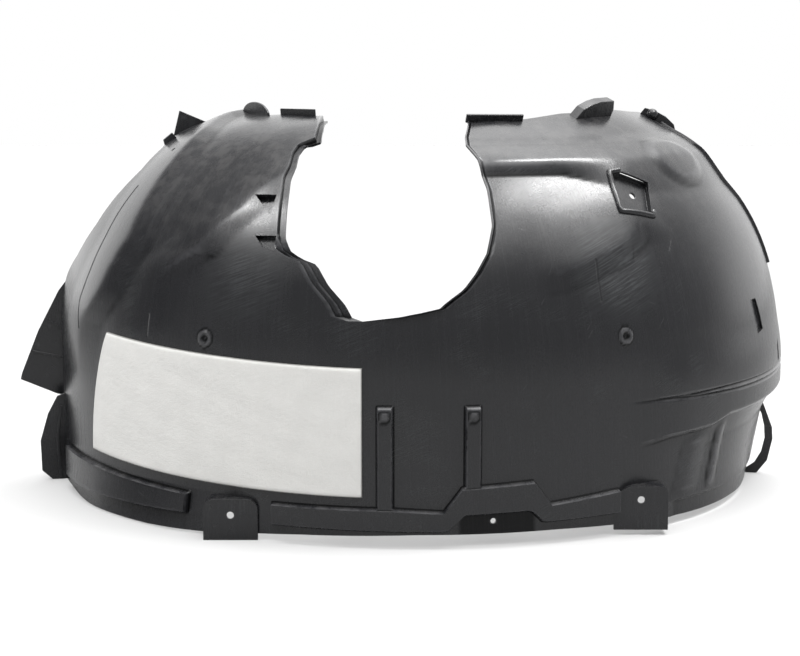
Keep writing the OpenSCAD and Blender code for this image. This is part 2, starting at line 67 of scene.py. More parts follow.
CAP, CAP_TALL = 468.0, 120.0
CUT_LEFT = [(246, -7.4), (248, -8.9), (260, -9.8), (266, -10.3), (286, -12.8), (310, -14.9), (316, -17.2),
            (324, -19.2), (340, -20.5), (362, -21.1), (380, -21.6), (401, -22.2), (420, -22.8), (444, -23.2),
            (468, -24.2), (480, -24.2), (492, -21.6), (520, -24.4), (590, -34)]
CUT_RIGHT = [(246, -7.4), (250, -2.9), (259, 3), (266, 4), (280, 6.5), (297, 8.3), (320, 10.2), (354, 11.6),
             (402, 11.8), (440, 11), (468, 9.6), (494, 10), (536, 11.8)]
# How many degrees each end is cut back, by height, and past which angle. Then the share of the right foot's
# lean, by height over the step.
LEFT_BACK = [(246, 0), (262, 2.5), (286, 6.8), (332, 11), (360, 12), (392, 13), (418, 13.3), (459, 10),
             (500, 2), (530, 0)]
RIGHT_BACK = [(246, 0), (360, 0.5), (410, 4.5), (446, 5.5), (480, 3), (520, 0)]
LEFT_FROM, RIGHT_FROM = -56.0, 62.0
TOE = [(0, 1), (0.79, 0.5), (1.04, 0)]
# The folds: the left ones as angle by height, the right one as height by angle, and the shoulder's height.
LEFT_FOLD = [(60, -63), (160, -62), (216, -59.9), (256, -55.2), (322, -51.2), (379, -52.1), (420, -52.9),
             (448, -54), (480, -56.6), (510, -60), (560, -70)]
WALL_FOLD = [(286, -40.8), (317, -35.3), (346, -32.6), (373, -29), (392, -28), (424, -24.4)]
RIGHT_FOLD = [(21.2, 300), (26.8, 312), (33, 330), (37.7, 353)]
SHOULDER = 440.0
# The seam's angle by height, the height of the right wall's grooves, and the angles and heights of the ribs,
# the dimples and the channel's two runs. A moulded side is SIDE wide.
LEFT_SEAM = [(204, -60.2), (238, -62), (276, -60.8), (315, -60), (363, -59.5), (398, -59)]
GROOVES = 147.5
RIB_ANGLES = (-4.3, 7.6)
DIMPLES = ((-30.9, 219.0), (30.4, 222.0))
CHANNEL_RUNS = ((-68.4, -33.6), (-20.2, 29.2))
SIDE = 3.0


def smooth(t):
    """Smooth step: 0 up to 0, 1 from 1 on, and 3t squared minus 2t cubed between."""
    t = np.clip(t, 0.0, 1.0)
    return t * t * (3.0 - 2.0 * t)


def lookup(x, table):
    """Straight-line interpolation in a list of (x, y) pairs."""
    rows = np.asarray(table, float)
    return np.interp(x, rows[:, 0], rows[:, 1])


def ramp(x, low, high):
    """0 up to low, 1 from high on and straight between."""
    return np.clip((x - low) / (high - low), 0.0, 1.0)


def length(name, default, description):
    """A property in the scene's length unit."""
    return bpy.props.FloatProperty(name=name, description=description, default=default, unit="LENGTH")


def number(name, default, description):
    """A property that is a plain number."""
    return bpy.props.FloatProperty(name=name, description=description, default=default)


def tint(name, default, description):
    """A property that is a colour."""
    return bpy.props.FloatVectorProperty(name=name, description=description, default=default, subtype="COLOR",
                                         size=3, min=0, max=1)


class LinerShape(bpy.types.PropertyGroup):
    """Sizes of the shell, in the scene's metres and in degrees."""
    arch_r: length("Arch radius", 0.455, "Radius of the upright wall")
    wall_t: length("Wall", 0.0026, "Thickness of the moulded wall")
    left_span: number("Left span", 79.0, "Degrees from the crown to the left end")
    right_span: number("Right span", 78.0, "Degrees from the crown to the right end")
    right_swell: length("Right swell", 0.014, "Radius the right half gains")
    channel_h: length("Channel height", 0.008, "How far the lip channel stands proud")
    rib_h: length("Rib height", 0.007, "How far the upright ribs stand proud")
    rib_w: length("Rib width", 0.017, "Width of an upright rib")
    rib_top: length("Rib top", 0.156, "Height of the top of the upright ribs")
    ledge_w: length("Ledge width", 0.008, "Width of a ledge beside the cut-out")
    ledge_d: length("Ledge drop", 0.004, "Drop of a ledge beside the cut-out")
    left_flare: length("Left flare", 0.012, "How far the left lip flares out")
    toe_in: length("Toe-in", 0.034, "How far the right end's foot leans in")
    tab_w: length("Tab width", 0.060, "Width of a lip tab")
    tab_t: length("Tab wall", 0.003, "Thickness of a lip tab")
    clip_hole: length("Clip holes", 0.008, "Diameter of the three clip holes")
    felt_t: length("Felt", 0.004, "Thickness of the felt")
    column_step: number("Column step", 0.72, "Degrees between two mesh columns")
    row_step: length("Row step", 0.0047, "Height between two mesh rows")


class LinerFinish(bpy.types.PropertyGroup):
    """Colours of the two materials and the studio."""
    plastic: tint("Plastic", (0.0075, 0.0078, 0.0088), "Colour of the moulded plastic")
    felt: tint("Felt", (0.66, 0.655, 0.635), "Colour of the felt")
    backdrop: tint("Backdrop", (1.0, 1.0, 1.0), "Colour of the floor and the background")


class LinerStudio(bpy.types.PropertyGroup):
    """Camera and lamps."""
    camera_x: length("Camera X", -0.018, "Camera's place along the liner")
    camera_y: length("Camera Y", -2.344, "Camera's distance from the wheel axis")
    camera_z: length("Camera Z", 0.519, "Camera's height above the floor")
    pitch: bpy.props.FloatProperty(name="Pitch", description="How far the camera looks down",
                                   subtype="ANGLE", default=math.radians(8.4))
    lens: number("Lens", 81.0, "Focal length on a 36 mm sensor, in millimetres")
    top_light: number("Ceiling", 4.8, "The ceiling's brightness")
    back_light: number("Back light", 1.2, "How much brighter the room is behind")
    front_light: number("Front light", 0.5, "The room's light in front")
    right_power: number("Right lamp", 21.0, "Power of the softbox on the right, in watts")
    left_power: number("Left lamp", 11.0, "Power of the softbox on the left, in watts")


def dome(a):
    """Spring height, radial reach and rise of the dome at angle a, in millimetres: the left half's values
    blend into the right half's between 20 degrees either side of the crown."""
    t = smooth((a + 20.0) / 40.0)
    return 185.0 - 16.0 * t, 262.0 + 30.0 * t, 272.0 + 40.0 * t


def wall_radius(a, shape):
    """Plan radius of the upright wall in millimetres: the arch radius, and the right half's smooth swell."""
    return shape.arch_r / MM + shape.right_swell / MM * smooth((a - 15.0) / 50.0)


def wall_points(a, h, off, shape):
    """Points of the wall in metres. Below the spring line the wall is an upright cylinder of the plan radius.
    Above it the arc height h turns a quarter of an ellipse inwards: radius minus reach times (1 - cos t) and
    height plus rise times sin t. off moves the point along the outward normal."""
    spring, reach, rise = dome(a)
    t = np.clip((h - spring) / rise, 0.0, math.pi / 2)
    nr, nz = rise * np.cos(t), reach * np.sin(t)
    length = np.hypot(nr, nz)
    r = wall_radius(a, shape) - reach * (1.0 - np.cos(t)) + off * nr / length
    z = np.where(h < spring, h, spring + rise * np.sin(t)) + off * nz / length
    turn = np.radians(a)
    return np.stack([r * np.sin(turn), -r * np.cos(turn), z], axis=-1) * MM


def per_degree(shape):
    """Millimetres along the arch in one degree."""
    return math.radians(1.0) * shape.arch_r / MM


def line_distance(a, h, path, shape):
    """Distance in millimetres on the wall's flat pattern from each point to a broken line of angles and
    heights."""
    scale = per_degree(shape)
    x, y = a * scale, h
    best = np.full(np.broadcast(a, h).shape, 1e9)
    for (a0, h0), (a1, h1) in zip(path[:-1], path[1:]):
        dx, dy = (a1 - a0) * scale, h1 - h0
        t = np.clip(((x - a0 * scale) * dx + (y - h0) * dy) / (dx * dx + dy * dy), 0.0, 1.0)
        best = np.minimum(best, np.hypot(x - a0 * scale - t * dx, y - h0 - t * dy))
    return best


def tent(d, width, round_=5.0):
    """1 on the line, falling straight to 0 at the given distance, with its tip and its foot rounded."""
    t = np.clip(1.0 - (np.hypot(d, round_) - round_) / (width - round_), 0.0, 1.0)
    return np.where(t < 0.25, 2.0 * t * t, t - 0.125) / 0.875


def fold(d, before, after):
    """A soft crest: 1 on the line where the signed distance d is 0, with its own width on each side."""
    return np.where(d < 0.0, tent(d, before), tent(d, after))


def hollow(d, width):
    """A rounded groove's depth: 1 on the line, falling as a cosine to 0 at the given distance."""
    return 0.5 + 0.5 * np.cos(np.pi * np.clip(np.abs(d) / width, 0.0, 1.0))


def between(v, low, high, fade):
    """0 up to low, 1 from low + fade to high, and 0 again from high + fade on, with smooth steps."""
    return smooth((v - low) / fade) * (1.0 - smooth((v - high) / fade))


def run(v, low, high, half):
    """1 between low and high and 0 outside, with straight sides that reach half to each side of them."""
    return ramp(v, low - half, low + half) * (1.0 - ramp(v, high - half, high + half))


def channel_relief(a, h, shape):
    """The raised lip channel: its height between its two edges and its runs' ends, with straight sides, and a
    fine groove along the top of each run."""
    high = lookup(a, CHANNEL_HIGH)
    up = run(h, lookup(a, CHANNEL_LOW), high, SIDE / 2)
    along = sum(run(a, start, end, SIDE / per_degree(shape) / 2.0) for start, end in CHANNEL_RUNS)
    outline = sum(between(a, start, end, 0.6) for start, end in ((-68.0, -34.5), (-20.0, 28.6)))
    return shape.channel_h / MM * up * along - 1.3 * hollow(h - high - 3.2, 2.0) * outline


def rib_relief(a, h, shape):
    """The two upright ribs: flat-topped, with straight sides, from the channel up to the rib top, each with a
    small raised button near its top."""
    per_deg = per_degree(shape)
    slope, half = SIDE / per_deg / 2.0, shape.rib_w / MM / per_deg / 2.0
    top = shape.rib_top / MM
    foot = lookup(a, CHANNEL_HIGH)
    up = (1.0 - ramp(h, top - SIDE, top)) * (h > foot - SIDE)
    body = 0.0
    for at in RIB_ANGLES:
        across = 1.0 - ramp(np.abs(a - at), half - slope, half + slope)
        d = np.hypot((a - at) * per_deg, h - (top - 11.0))
        body = body + across * up * (shape.rib_h / MM + 2.0 * (1.0 - smooth((d - 3.0) / 2.5)))
    return body


def groove_spread(a):
    """Half the distance between the right wall's two grooves, which meet at their left end."""
    return 3.0 * smooth((a - 30.0) / 25.0)


def right_relief(a, h, shape):
    """The right wall's step, its double groove that closes to one at its left end, the foot that leans in
    below the step, two upright ridges on that foot, and the band along its lip."""
    share = smooth((a - 30.0) / 12.0)
    step_at = lookup(a, STEP)
    step = 5.0 * share * ramp(h, step_at - SIDE, step_at + SIDE) * (1.0 - smooth((h - 150.0) / 64.0))
    apart = groove_spread(a)
    grooves = 1.9 * share * (hollow(h - GROOVES + apart, 2.6) + hollow(h - GROOVES - apart, 2.6))
    toe = shape.toe_in / MM * smooth((a - 34.0) / 44.0) * lookup(h / step_at, TOE)
    foot = (1.0 - ramp(h, step_at - 14.0, step_at - 4.0)) * ramp(h, 28.0, 40.0)
    ridges = 2.2 * tent(line_distance(a, h, [(50.2, 112), (47.9, 40)], shape), 12.0, 3.0)
    ridges = ridges + 2.0 * tent(line_distance(a, h, [(44.2, 104), (41.5, 30)], shape), 26.0, 8.0)
    band = 2.2 * ramp(a, 38.5, 40.0) * (1.0 - ramp(h, 27.0, 28.6))
    return step - grooves - toe + foot * ridges - band


def fold_relief(a, h, shape):
    """The soft folds of the dome: tents along the shoulder of the right wing, whose lower flank widens to the
    right, and along the left, middle and right folds, the shallow bulge near the right wing's end, and the
    left lip's flare."""
    per_deg = per_degree(shape)
    below = 22.0 + 33.0 * smooth((a - 25.0) / 17.0)
    crest = np.where(h < SHOULDER, tent(h - SHOULDER, below, 8.0), tent(h - SHOULDER, 55.0))
    shoulder = 7.0 * ramp(a, -7.4, 14.0) * crest
    left = 6.0 * fold((a - lookup(h, LEFT_FOLD)) * per_deg, 100.0, 56.0) * smooth((h - 120.0) / 80.0)
    wall = 2.4 * fold((a - lookup(h, WALL_FOLD)) * per_deg, 70.0, 40.0) * between(h, 270.0, 410.0, 40.0)
    right = 4.0 * fold(h - lookup(a, RIGHT_FOLD), 30.0, 95.0) * between(a, 16.0, 36.0, 8.0)
    bulge = 2.6 * (1.0 - smooth((np.hypot((a - 56.0) / 9.5, (h - 436.0) / 46.0) - 0.58) / 0.36))
    flare = shape.left_flare / MM * between(-a, 20.0, 52.0, 18.0) * np.clip(1.0 - h / 50.0, 0.0, 1.0)
    return shoulder + left + wall + right + bulge + flare


def small_relief(a, h, shape):
    """The two locating dimples, and the wall's slight waviness: a low product of sines and a low sine."""
    per_deg = per_degree(shape)
    total = 0.0
    for at, height in DIMPLES:
        d = np.hypot((a - at) * per_deg, h - height)
        total = total + 2.0 * (1.0 - smooth((d - 7.4) / 3.2)) - 2.4 * (1.0 - smooth((d - 2.0) / 4.6))
    x = a * per_deg
    calm = smooth((h - 200.0) / 40.0)
    wave = 0.5 * np.sin(x / 41.0 + h / 57.0) * np.sin(h / 37.0 - x / 83.0)
    return total + calm * (wave + 0.2 * np.sin(x / 27.0 - h / 33.0 + 1.3))


def relief(a, h, shape):
    """Height of everything moulded into the wall, in millimetres along the normal."""
    raised = np.maximum(channel_relief(a, h, shape), rib_relief(a, h, shape))
    return raised + right_relief(a, h, shape) + fold_relief(a, h, shape) + small_relief(a, h, shape)


def edge_wear_and_painted_light(out):
    """How exposed each point of a grid of relief heights is: its height over its neighbours' means, less a
    dead zone of 0.1 mm, up to 1 on an edge, which is rubbed and painted lighter, partly as a painted
    highlight, and down to -1 in a corner, which is painted dark as painted shade."""
    rise = np.zeros_like(out)
    rise[1:-1] += out[1:-1] - 0.5 * (out[:-2] + out[2:])
    rise[:, 1:-1] += out[:, 1:-1] - 0.5 * (out[:, :-2] + out[:, 2:])
    return np.sign(rise) * ramp(np.abs(rise), 0.1, 0.6)


def spread(rows, gaps, step):
    """The rows in order, with each gap between two of them cut into equal parts of at most the given step."""
    parts = [rows[:1]]
    for p, q, gap in zip(rows[:-1], rows[1:], gaps):
        n = max(1, math.ceil(gap / step))
        parts.append(p + (q - p) * (np.arange(1, n + 1) / n)[:, None])
    return np.concatenate(parts)


def pair(at, half, near=0.0):
    """Both edges of a sloping side, each with a close loop beside it that keeps the bend crisp."""
    return [at + side + d for side in (-half, half) for d in (-near, 0.0, near)]


def column_angles(shape):
    """Angles of the mesh columns: close pairs at each side of a rib, run or ledge, and equal steps between
    them."""
    per_deg = per_degree(shape)
    side, near = SIDE / per_deg / 2.0, 0.5 / per_deg
    half = shape.rib_w / MM / per_deg / 2.0
    ledge = shape.ledge_w / MM / per_deg
    marks = [-shape.left_span, shape.right_span, CUT_MID]
    for start, end in CHANNEL_RUNS:
        marks += pair(start, side, near) + pair(end, side, near)
    for at in RIB_ANGLES:
        marks += pair(at - half, side, near) + pair(at + half, side, near)
    for k in (1, 2):
        at = CUT_MID - k * ledge
        marks += [at - side, at - near, at, at + near]
    marks += [CUT_MID + d for d in (0.14, 0.28, 0.4, 0.54, 0.68, 0.85)] + [3.6, 6.1, 16.1, 18.6]
    for at in DIMPLES:
        marks += [at[0] + d for d in np.arange(-1.5, 1.6, 0.25)]
    marks = np.unique(np.round(marks, 5))
    return spread(marks[:, None], np.diff(marks), shape.column_step)[:, 0]


def low_levels(a, shape):
    """Heights of the rows below the cut-out, one array of rows for each column: they follow the lip edge,
    both edges of the channel, the step, the grooves and the rib tops."""
    low, high, step = lookup(a, CHANNEL_LOW), lookup(a, CHANNEL_HIGH), lookup(a, STEP)
    top = shape.rib_top / MM
    flat = np.zeros_like(a)
    marks = [lookup(a, LIP)]
    marks += [low + d for d in (-2.1, -1.5, -0.9, 0.9, 1.5, 2.1)]
    marks += [high + d for d in (-2.1, -1.5, -0.9, 0.9, 1.5, 2.1, 3.2, 4.4)]
    marks += [step + d for d in (-3.8, -3.0, 3.0, 3.8)]
    apart = np.maximum(groove_spread(a), 1.5)
    marks += [flat + 134.0] + [GROOVES - apart + d for d in (-3.8, -2.6, -1.3, 0.0, 1.3)] + [flat + GROOVES]
    marks += [GROOVES + apart + d for d in (-1.3, 0.0, 1.3, 2.6)]
    marks += [flat + top + d for d in (-2.4, -0.6, 0.0, 0.6)]
    marks += [flat + d for d in (*np.arange(208.0, 234.0, 2.2), CUT_FLOOR)]
    marks = np.array(marks)
    return spread(marks, np.diff(marks, axis=0).max(axis=1), shape.row_step / MM)


def high_levels(a, shape):
    """Heights of the rows beside the cut-out, from its floor up to the top edge of each wing."""
    step = shape.row_step / MM
    even = np.linspace(CUT_FLOOR, CAP, math.ceil((CAP - CUT_FLOOR) / step) + 1)
    n = math.ceil(CAP_TALL / step)
    cap = CAP + (lookup(a, TOP) - CAP) * (np.arange(1, n + 1) / n)[:, None]
    return np.concatenate([np.repeat(even[:, None], len(a), axis=1), cap])


def beside(a, edge, far, keep):
    """Where the columns run beside the cut-out: those within keep degrees of it hold their distance from its
    edge, and those further out fan evenly to the far angle, past which nothing moves."""
    side = math.copysign(1.0, far)
    near, goal = CUT_MID + side * keep, edge + side * keep
    fan = far + (a - far) * (goal - far) / (near - far)
    held = edge + a - CUT_MID
    return np.where(np.abs(a - CUT_MID) <= keep, held, np.where(side * a >= side * far, a, fan))


def end_fit(a, h, shape):
    """The columns near each end, drawn back evenly to the end's cut line."""
    left = LEFT_FROM + (a - LEFT_FROM) * (1.0 - lookup(h, LEFT_BACK) / (shape.left_span + LEFT_FROM))
    right = RIGHT_FROM + (a - RIGHT_FROM) * (1.0 - lookup(h, RIGHT_BACK) / (shape.right_span - RIGHT_FROM))
    return np.where(a < LEFT_FROM, left, np.where(a > RIGHT_FROM, right, a))


def high_levels_at(real, h):
    """The rows again, with the top edge taken at each column's real angle."""
    share = ramp(h, CAP, np.maximum(h[-1:], CAP + 1e-6))
    return np.where(h <= CAP, h, CAP + (lookup(real, TOP) - CAP) * share)


def shell_grids(shape):
    """The column at the cut-out's middle, and the three blocks of the shell's grid: nominal angle, real angle
    and height, rows first."""
    a = column_angles(shape)
    mid = int(np.argmin(np.abs(a - CUT_MID)))
    low = low_levels(a, shape)
    blocks = [(np.broadcast_to(a, low.shape), np.broadcast_to(a, low.shape), low)]
    sides = ((slice(0, mid + 1), CUT_LEFT, -50.0, 3.0), (slice(mid, None), CUT_RIGHT, 45.0, 1.0))
    for columns, table, far, keep in sides:
        nominal = a[columns]
        h = high_levels(nominal, shape)
        real = end_fit(beside(nominal[None, :], lookup(h, table), far, keep), h, shape)
        h = high_levels_at(real, h)
        blocks.append((np.broadcast_to(nominal, h.shape), real, h))
    return mid, blocks


def ledge_drop(nominal, h, shape):
    """Drop of the ledges left of the cut-out, by distance from its edge: two beside its lower part and one
    above, which drops further beside the wing's top."""
    per_deg = per_degree(shape)
    side = SIDE / per_deg / 2.0
    ledge = shape.ledge_w / MM / per_deg
    d = CUT_MID - nominal
    low = 1.0 - smooth((h - 318.0) / 14.0)
    inner, outer = (1.0 - ramp(d, k * ledge, k * ledge + side) for k in (1, 2))
    return -shape.ledge_d / MM * (inner * (1.0 + 0.6 * smooth((h - 486.0) / 8.0)) + outer * low)


def block_relief(n, nominal, a, h, shape):
    """Relief of one block, with the ledges left of the cut-out and the raised lip and groove on its right."""
    out = relief(a, h, shape)
    if n == 1:
        out[1:] += ledge_drop(nominal, h, shape)[1:]
    if n == 2:
        d = nominal[1:] - CUT_MID
        out[1:] += 2.5 * (1.0 - ramp(d, 0.28, 0.4)) - 1.4 * hollow(d - 0.6, 0.2)
    return out


def skin_points(blocks, off, shape):
    """Points of one skin of the shell, block after block, without the rows that the blocks share, and with
    them each point's abrasion and painted light and its place on the flat pattern. Under the channel's nose
    and at the top of the left ledge the value is set to that of a corner, so both are painted dark as painted
    shade."""
    points, wear_and_painted_light, flat = [], [], []
    per_deg = per_degree(shape) * MM
    for n, (nominal, a, h) in enumerate(blocks):
        out = block_relief(n, nominal, a, h, shape)
        grid = wall_points(a, h, out + off, shape)
        first = 0 if n == 0 else 1
        points.append(grid[first:].reshape(-1, 3))
        # Painted shade: under the channel's nose and at the top of the left ledge the value is set to a
        # corner's, so the material paints them nearly black.
        under = (a > 5.6) & (a < 16.6) & (h < lookup(a, CHANNEL_LOW) - 1.6)
        under = under | ((n == 1) & (nominal > CUT_MID - 0.9) & (h > 490.0))
        wear_and_painted_light.append(np.where(under, -0.8, edge_wear_and_painted_light(out))[first:].reshape(-1))
        flat.append(np.stack([a * per_deg, h * MM], axis=-1)[first:].reshape(-1, 2))
    return np.concatenate(points), np.concatenate(wear_and_painted_light), np.concatenate(flat)


def grid_ids(blocks, mid):
    """Vertex numbers of each block's grid, the upper blocks with the lower block's top row as their first."""
    rows, columns = blocks[0][2].shape
    low = np.arange(rows * columns).reshape(rows, columns)
    ids, start = [low], low.size
    for n, shared in ((1, low[-1, :mid + 1]), (2, low[-1, mid:])):
        r, c = blocks[n][2].shape
        own = np.arange(start, start + (r - 1) * c).reshape(r - 1, c)
        ids.append(np.vstack([shared, own]))
        start += own.size
    return ids, start


def quads(ids, flip=False):
    """Four-sided faces between neighbouring rows and columns of a grid of vertex numbers."""
    corners = [ids[:-1, :-1], ids[:-1, 1:], ids[1:, 1:], ids[1:, :-1]]
    if flip:
        corners.reverse()
    return np.stack(corners, axis=-1).reshape(-1, 4)


def strip(line, other):
    """Faces between two equal lines of vertex numbers."""
    return quads(np.vstack([line, other]))


def mesh_object(name, points, faces, material, smooth_angle=None):
    """A mesh object at the origin from whole arrays of points and faces, with its faces turned outwards."""
    mesh = bpy.data.meshes.new(name)
    mesh.from_pydata(np.asarray(points, float).tolist(), [], [list(f) for f in faces])
    mesh.validate()
    work = bmesh.new()
    work.from_mesh(mesh)
    bmesh.ops.recalc_face_normals(work, faces=work.faces)
    work.to_mesh(mesh)
    work.free()
    mesh.polygons.foreach_set("use_smooth", [True] * len(mesh.polygons))
    mesh.materials.append(material)
    obj = bpy.data.objects.new(name, mesh)
    bpy.context.scene.collection.objects.link(obj)
    if smooth_angle is not None:
        mesh.set_sharp_from_angle(angle=smooth_angle)
    return obj


def store(mesh, name, values):
    """Keeps one number or one pair of numbers at each point of a mesh, for its material."""
    kind, key = ("FLOAT", "value") if values.ndim == 1 else ("FLOAT2", "vector")
    layer = mesh.attributes.new(name, kind, "POINT")
    layer.data.foreach_set(key, np.ascontiguousarray(values, dtype=np.float32).ravel())


def build_shell(shape, material):
    """The moulded wall: an outer and an inner skin on the same grid, joined round every free edge."""
    mid, blocks = shell_grids(shape)
    ids, count = grid_ids(blocks, mid)
    outer, wear_and_painted_light, flat = skin_points(blocks, 0.0, shape)
    inner = skin_points(blocks, -shape.wall_t / MM, shape)[0]
    faces = []
    for grid in ids:
        faces += [quads(grid), quads(grid + count, flip=True)]
    low, left, right = ids
    edges = [low[0, ::-1], low[:, 0], left[:, 0], left[-1, :], left[::-1, -1], right[:, 0], right[-1, :],
             right[::-1, -1], low[::-1, -1]]
    for line in edges:
        faces.append(strip(line + count, line))
    obj = mesh_object("liner_skin", np.concatenate([outer, inner]), np.concatenate(faces), material,
                      math.radians(38))
    store(obj.data, "wear_and_painted_light", np.concatenate([wear_and_painted_light, wear_and_painted_light * 0.0]))
    store(obj.data, "pattern", np.concatenate([flat, flat]))
    return obj


def local_frame(a, h, shape):
    """A 4x4 matrix on the wall: Z outwards, X along the arch, Y up the wall."""
    p = wall_points(np.array(a), np.array(float(h)), 0.0, shape)
    q = wall_points(np.array(a), np.array(float(h)), 1.0, shape)
    normal = (q - p) / MM
    turn = math.radians(a)
    along = np.array([math.cos(turn), math.sin(turn), 0.0])
    m = np.eye(4)
    m[:3, 0], m[:3, 1], m[:3, 2], m[:3, 3] = along, np.cross(normal, along), normal, p
    return m


def place(points, matrix):
    """Points carried by a 4x4 matrix."""
    points = np.asarray(points, float)
    return points @ matrix[:3, :3].T + matrix[:3, 3]


def stack(levels):
    """A closed body in millimetres from equal outlines, each at its own height: walls from one to the next,
    and a face over the first and the last."""
    n, last = len(levels[0][0]), len(levels) - 1
    points = np.concatenate([np.column_stack([np.asarray(line, float), np.full(n, z)]) for line, z in levels])
    faces = [list(range(n))[::-1], list(range(last * n, last * n + n))]
    i = np.arange(n)
    j = (i + 1) % n
    for k in range(0, last * n, n):
        faces += np.stack([i + k, j + k, j + k + n, i + k + n], axis=-1).tolist()
    return points * MM, faces


def prism(outline, low, high):
    """A closed prism in millimetres: the outline at height low and at height high, and its walls."""
    return stack([(outline, low), (outline, high)])


def ring_outline(radius, n=40):
    """Points of a circle."""
    t = np.arange(n) * 2 * math.pi / n
    return np.column_stack([radius * np.cos(t), radius * np.sin(t)])


def cut(obj, cutters):
    """Takes the joined cutters out of a piece and leaves nothing of them."""
    points, faces, start = [], [], 0
    for p, f in cutters:
        points.append(p)
        faces += [[k + start for k in face] for face in f]
        start += len(p)
    tool = mesh_object("cutter", np.concatenate(points), faces, obj.data.materials[0])
    tool.data.polygons.foreach_set("use_smooth", [False] * len(tool.data.polygons))
    modifier = obj.modifiers.new("cut", "BOOLEAN")
    modifier.object, modifier.operation, modifier.solver = tool, "DIFFERENCE", "EXACT"
    with bpy.context.temp_override(object=obj, active_object=obj):
        bpy.ops.object.modifier_apply(modifier="cut")
    bpy.data.objects.remove(tool)


def soften(obj, width=0.0007, angle=40.0):
    """A small bevel on every edge that bends more than the given angle."""
    bevel = obj.modifiers.new("soft_edges", "BEVEL")
    bevel.width, bevel.segments, bevel.limit_method = width, 2, "ANGLE"
    bevel.angle_limit, bevel.harden_normals = math.radians(angle), True
    return obj


# Places of the small forms as angle from the crown and height, and their outlines in millimetres. ROOT is how
# far they reach into the wall, CUP_TOP how far a cup's rim lies under its skin, THROUGH how far a cutter
# reaches past the wall and PLATE_T the thickness of a plate.
PAD_AT, PAD = (39.4, 390.0), [(-23, 27), (-7, 28), (27, 12), (8, -29), (-31, -22)]
PAD_BEAD = np.array([(-11, 30), (-26, 29), (-35, -24), (9, -32.5), (12, -26)])
POCKETS = (((-25.2, 382.0), [(-17, 9), (9, 11), (10, -16)]),
           ((-23.4, 331.0), [(-14, 8), (12, 9), (13, -9), (-1, -5)]))
SMALL_HOLES, SMALL_R = ((-58.8, 454.0), (10.5, 28.0)), 3.0
SLOT_AT, SLOT = (61.0, 221.0), [(-16, 21), (4, 21), (16, -17), (-4, -21)]
END_SLOT_AT, END_SLOT = (71.5, 166.0), [(3, 16), (-5, 8), (-6, -14), (4, -9)]
# The two lip tabs: middle, foot, top, hole height, and the radii of the left and the right shoulder.
TABS = {"lip_tab_left": (-204.0, 0.0, 46.0, 28.0, 12.0, 12.0),
        "lip_tab_right": (249.0, 6.0, 55.0, 40.0, 22.0, 8.0)}
TAB_BACK = 340.0
ROOT = -1.8
CUP_TOP = 1.5
THROUGH = 20.0
PLATE_T = 3.0
CLIP_DEPTH, POCKET_DEPTH, SLOT_DEPTH, END_SLOT_DEPTH = 5.0, 7.0, 3.5, 9.0
# Outlines at the two ends as distance out from the arch radius and height: the left plate and foot, their
# ribs, and the right end's strap.
END_PLATE = [(8, 102), (53, 122), (51, 130), (29.7, 183), (3, 234)]
UPPER_RIB = [(2, 188), (20, 197), (19, 200), (2, 191)]
LOWER_RIB = [(2, 148), (38, 156), (37, 159), (2, 151)]
END_FOOT = [(-1, 0), (18, 0), (31, 12), (32, 50), (22, 84), (10, 106), (-1, 110)]
FOOT_RIB = [(6, 3), (10, 3), (13, 56), (7, 94), (4, 94), (9, 56)]
STRAP = [(-14, 94), (-1, 60), (0, 45), (-6, 17), (-19, 0), (-33, 0), (-33, 6), (-22, 14), (-14, 28),
         (-10, 46), (-11, 62), (-15, 78), (-24, 94)]
# Plates that stand on the wall: angle, height or none for the top edge, whether the plate runs along the
# arch, thickness and outline.
ARC = np.linspace(0.0, math.pi, 19)
PLATES = {
    "top_lip_left": (-40, None, True, PLATE_T, [(-28, ROOT), (28, ROOT), (28, 8), (-28, 8)]),
    "top_lug": (-60, None, True, PLATE_T,
                [(-36, ROOT), (36, ROOT), *zip(36 * np.cos(ARC), 16 * np.sin(ARC))]),
    "top_lip_right": (18.5, None, True, PLATE_T, [(-35, ROOT - 0.6), (35, ROOT - 0.6), (35, 7), (-35, 8)]),
    "top_boss": (47.5, None, True, 12,
                 [(-38, ROOT - 1), (30, ROOT - 1), (31, 9), (26, 20), (0, 19), (-14, 16), (-28, 10)]),
    "bracket_upper": (-76, 508, False, PLATE_T, [(-23, ROOT), (23, ROOT), (-3, 25)]),
    "bracket_lower": (-70.5, 474, False, PLATE_T, [(-9, ROOT), (9, ROOT), (7, 8), (-7, 6)]),
    "end_fin": (76.5, 514, False, PLATE_T,
                [(-34, ROOT), (18, ROOT), (16, 8), (4, 11), (-12, 11), (-26, 7)]),
}


def cup(points, depth, wall):
    """A recess's cup: a floor at the given depth and walls up to just under the wall's skin, open at the top.
    Its outside is the outline grown away from its middle."""
    inside = np.asarray(points, float)
    outside = inside + 3.0 * inside / np.linalg.norm(inside, axis=1, keepdims=True)
    return stack([(outside, -depth - wall), (outside, -CUP_TOP), (inside, -CUP_TOP), (inside, -depth)])


def tab_outline(shape, low, top, left_r, right_r, inset):
    """A plate's outline: square at the foot, with a rounded shoulder of its own radius on each side."""
    half, top = shape.tab_w / MM / 2.0 - inset, top - inset
    t = np.linspace(0.0, math.pi / 2, 13)
    right = np.column_stack([half - right_r + right_r * np.cos(t), top - right_r + right_r * np.sin(t)])
    left = np.column_stack([left_r - half - left_r * np.sin(t), top - left_r + left_r * np.cos(t)])
    return np.concatenate([[[-half, low], [half, low]], right, left])


def upright(points, x, z=0.0):
    """Carries a prism drawn in X and Y, with its height as depth, to stand facing the front at x, z."""
    return np.column_stack([points[:, 0] + x * MM, -points[:, 2], points[:, 1] + z * MM])


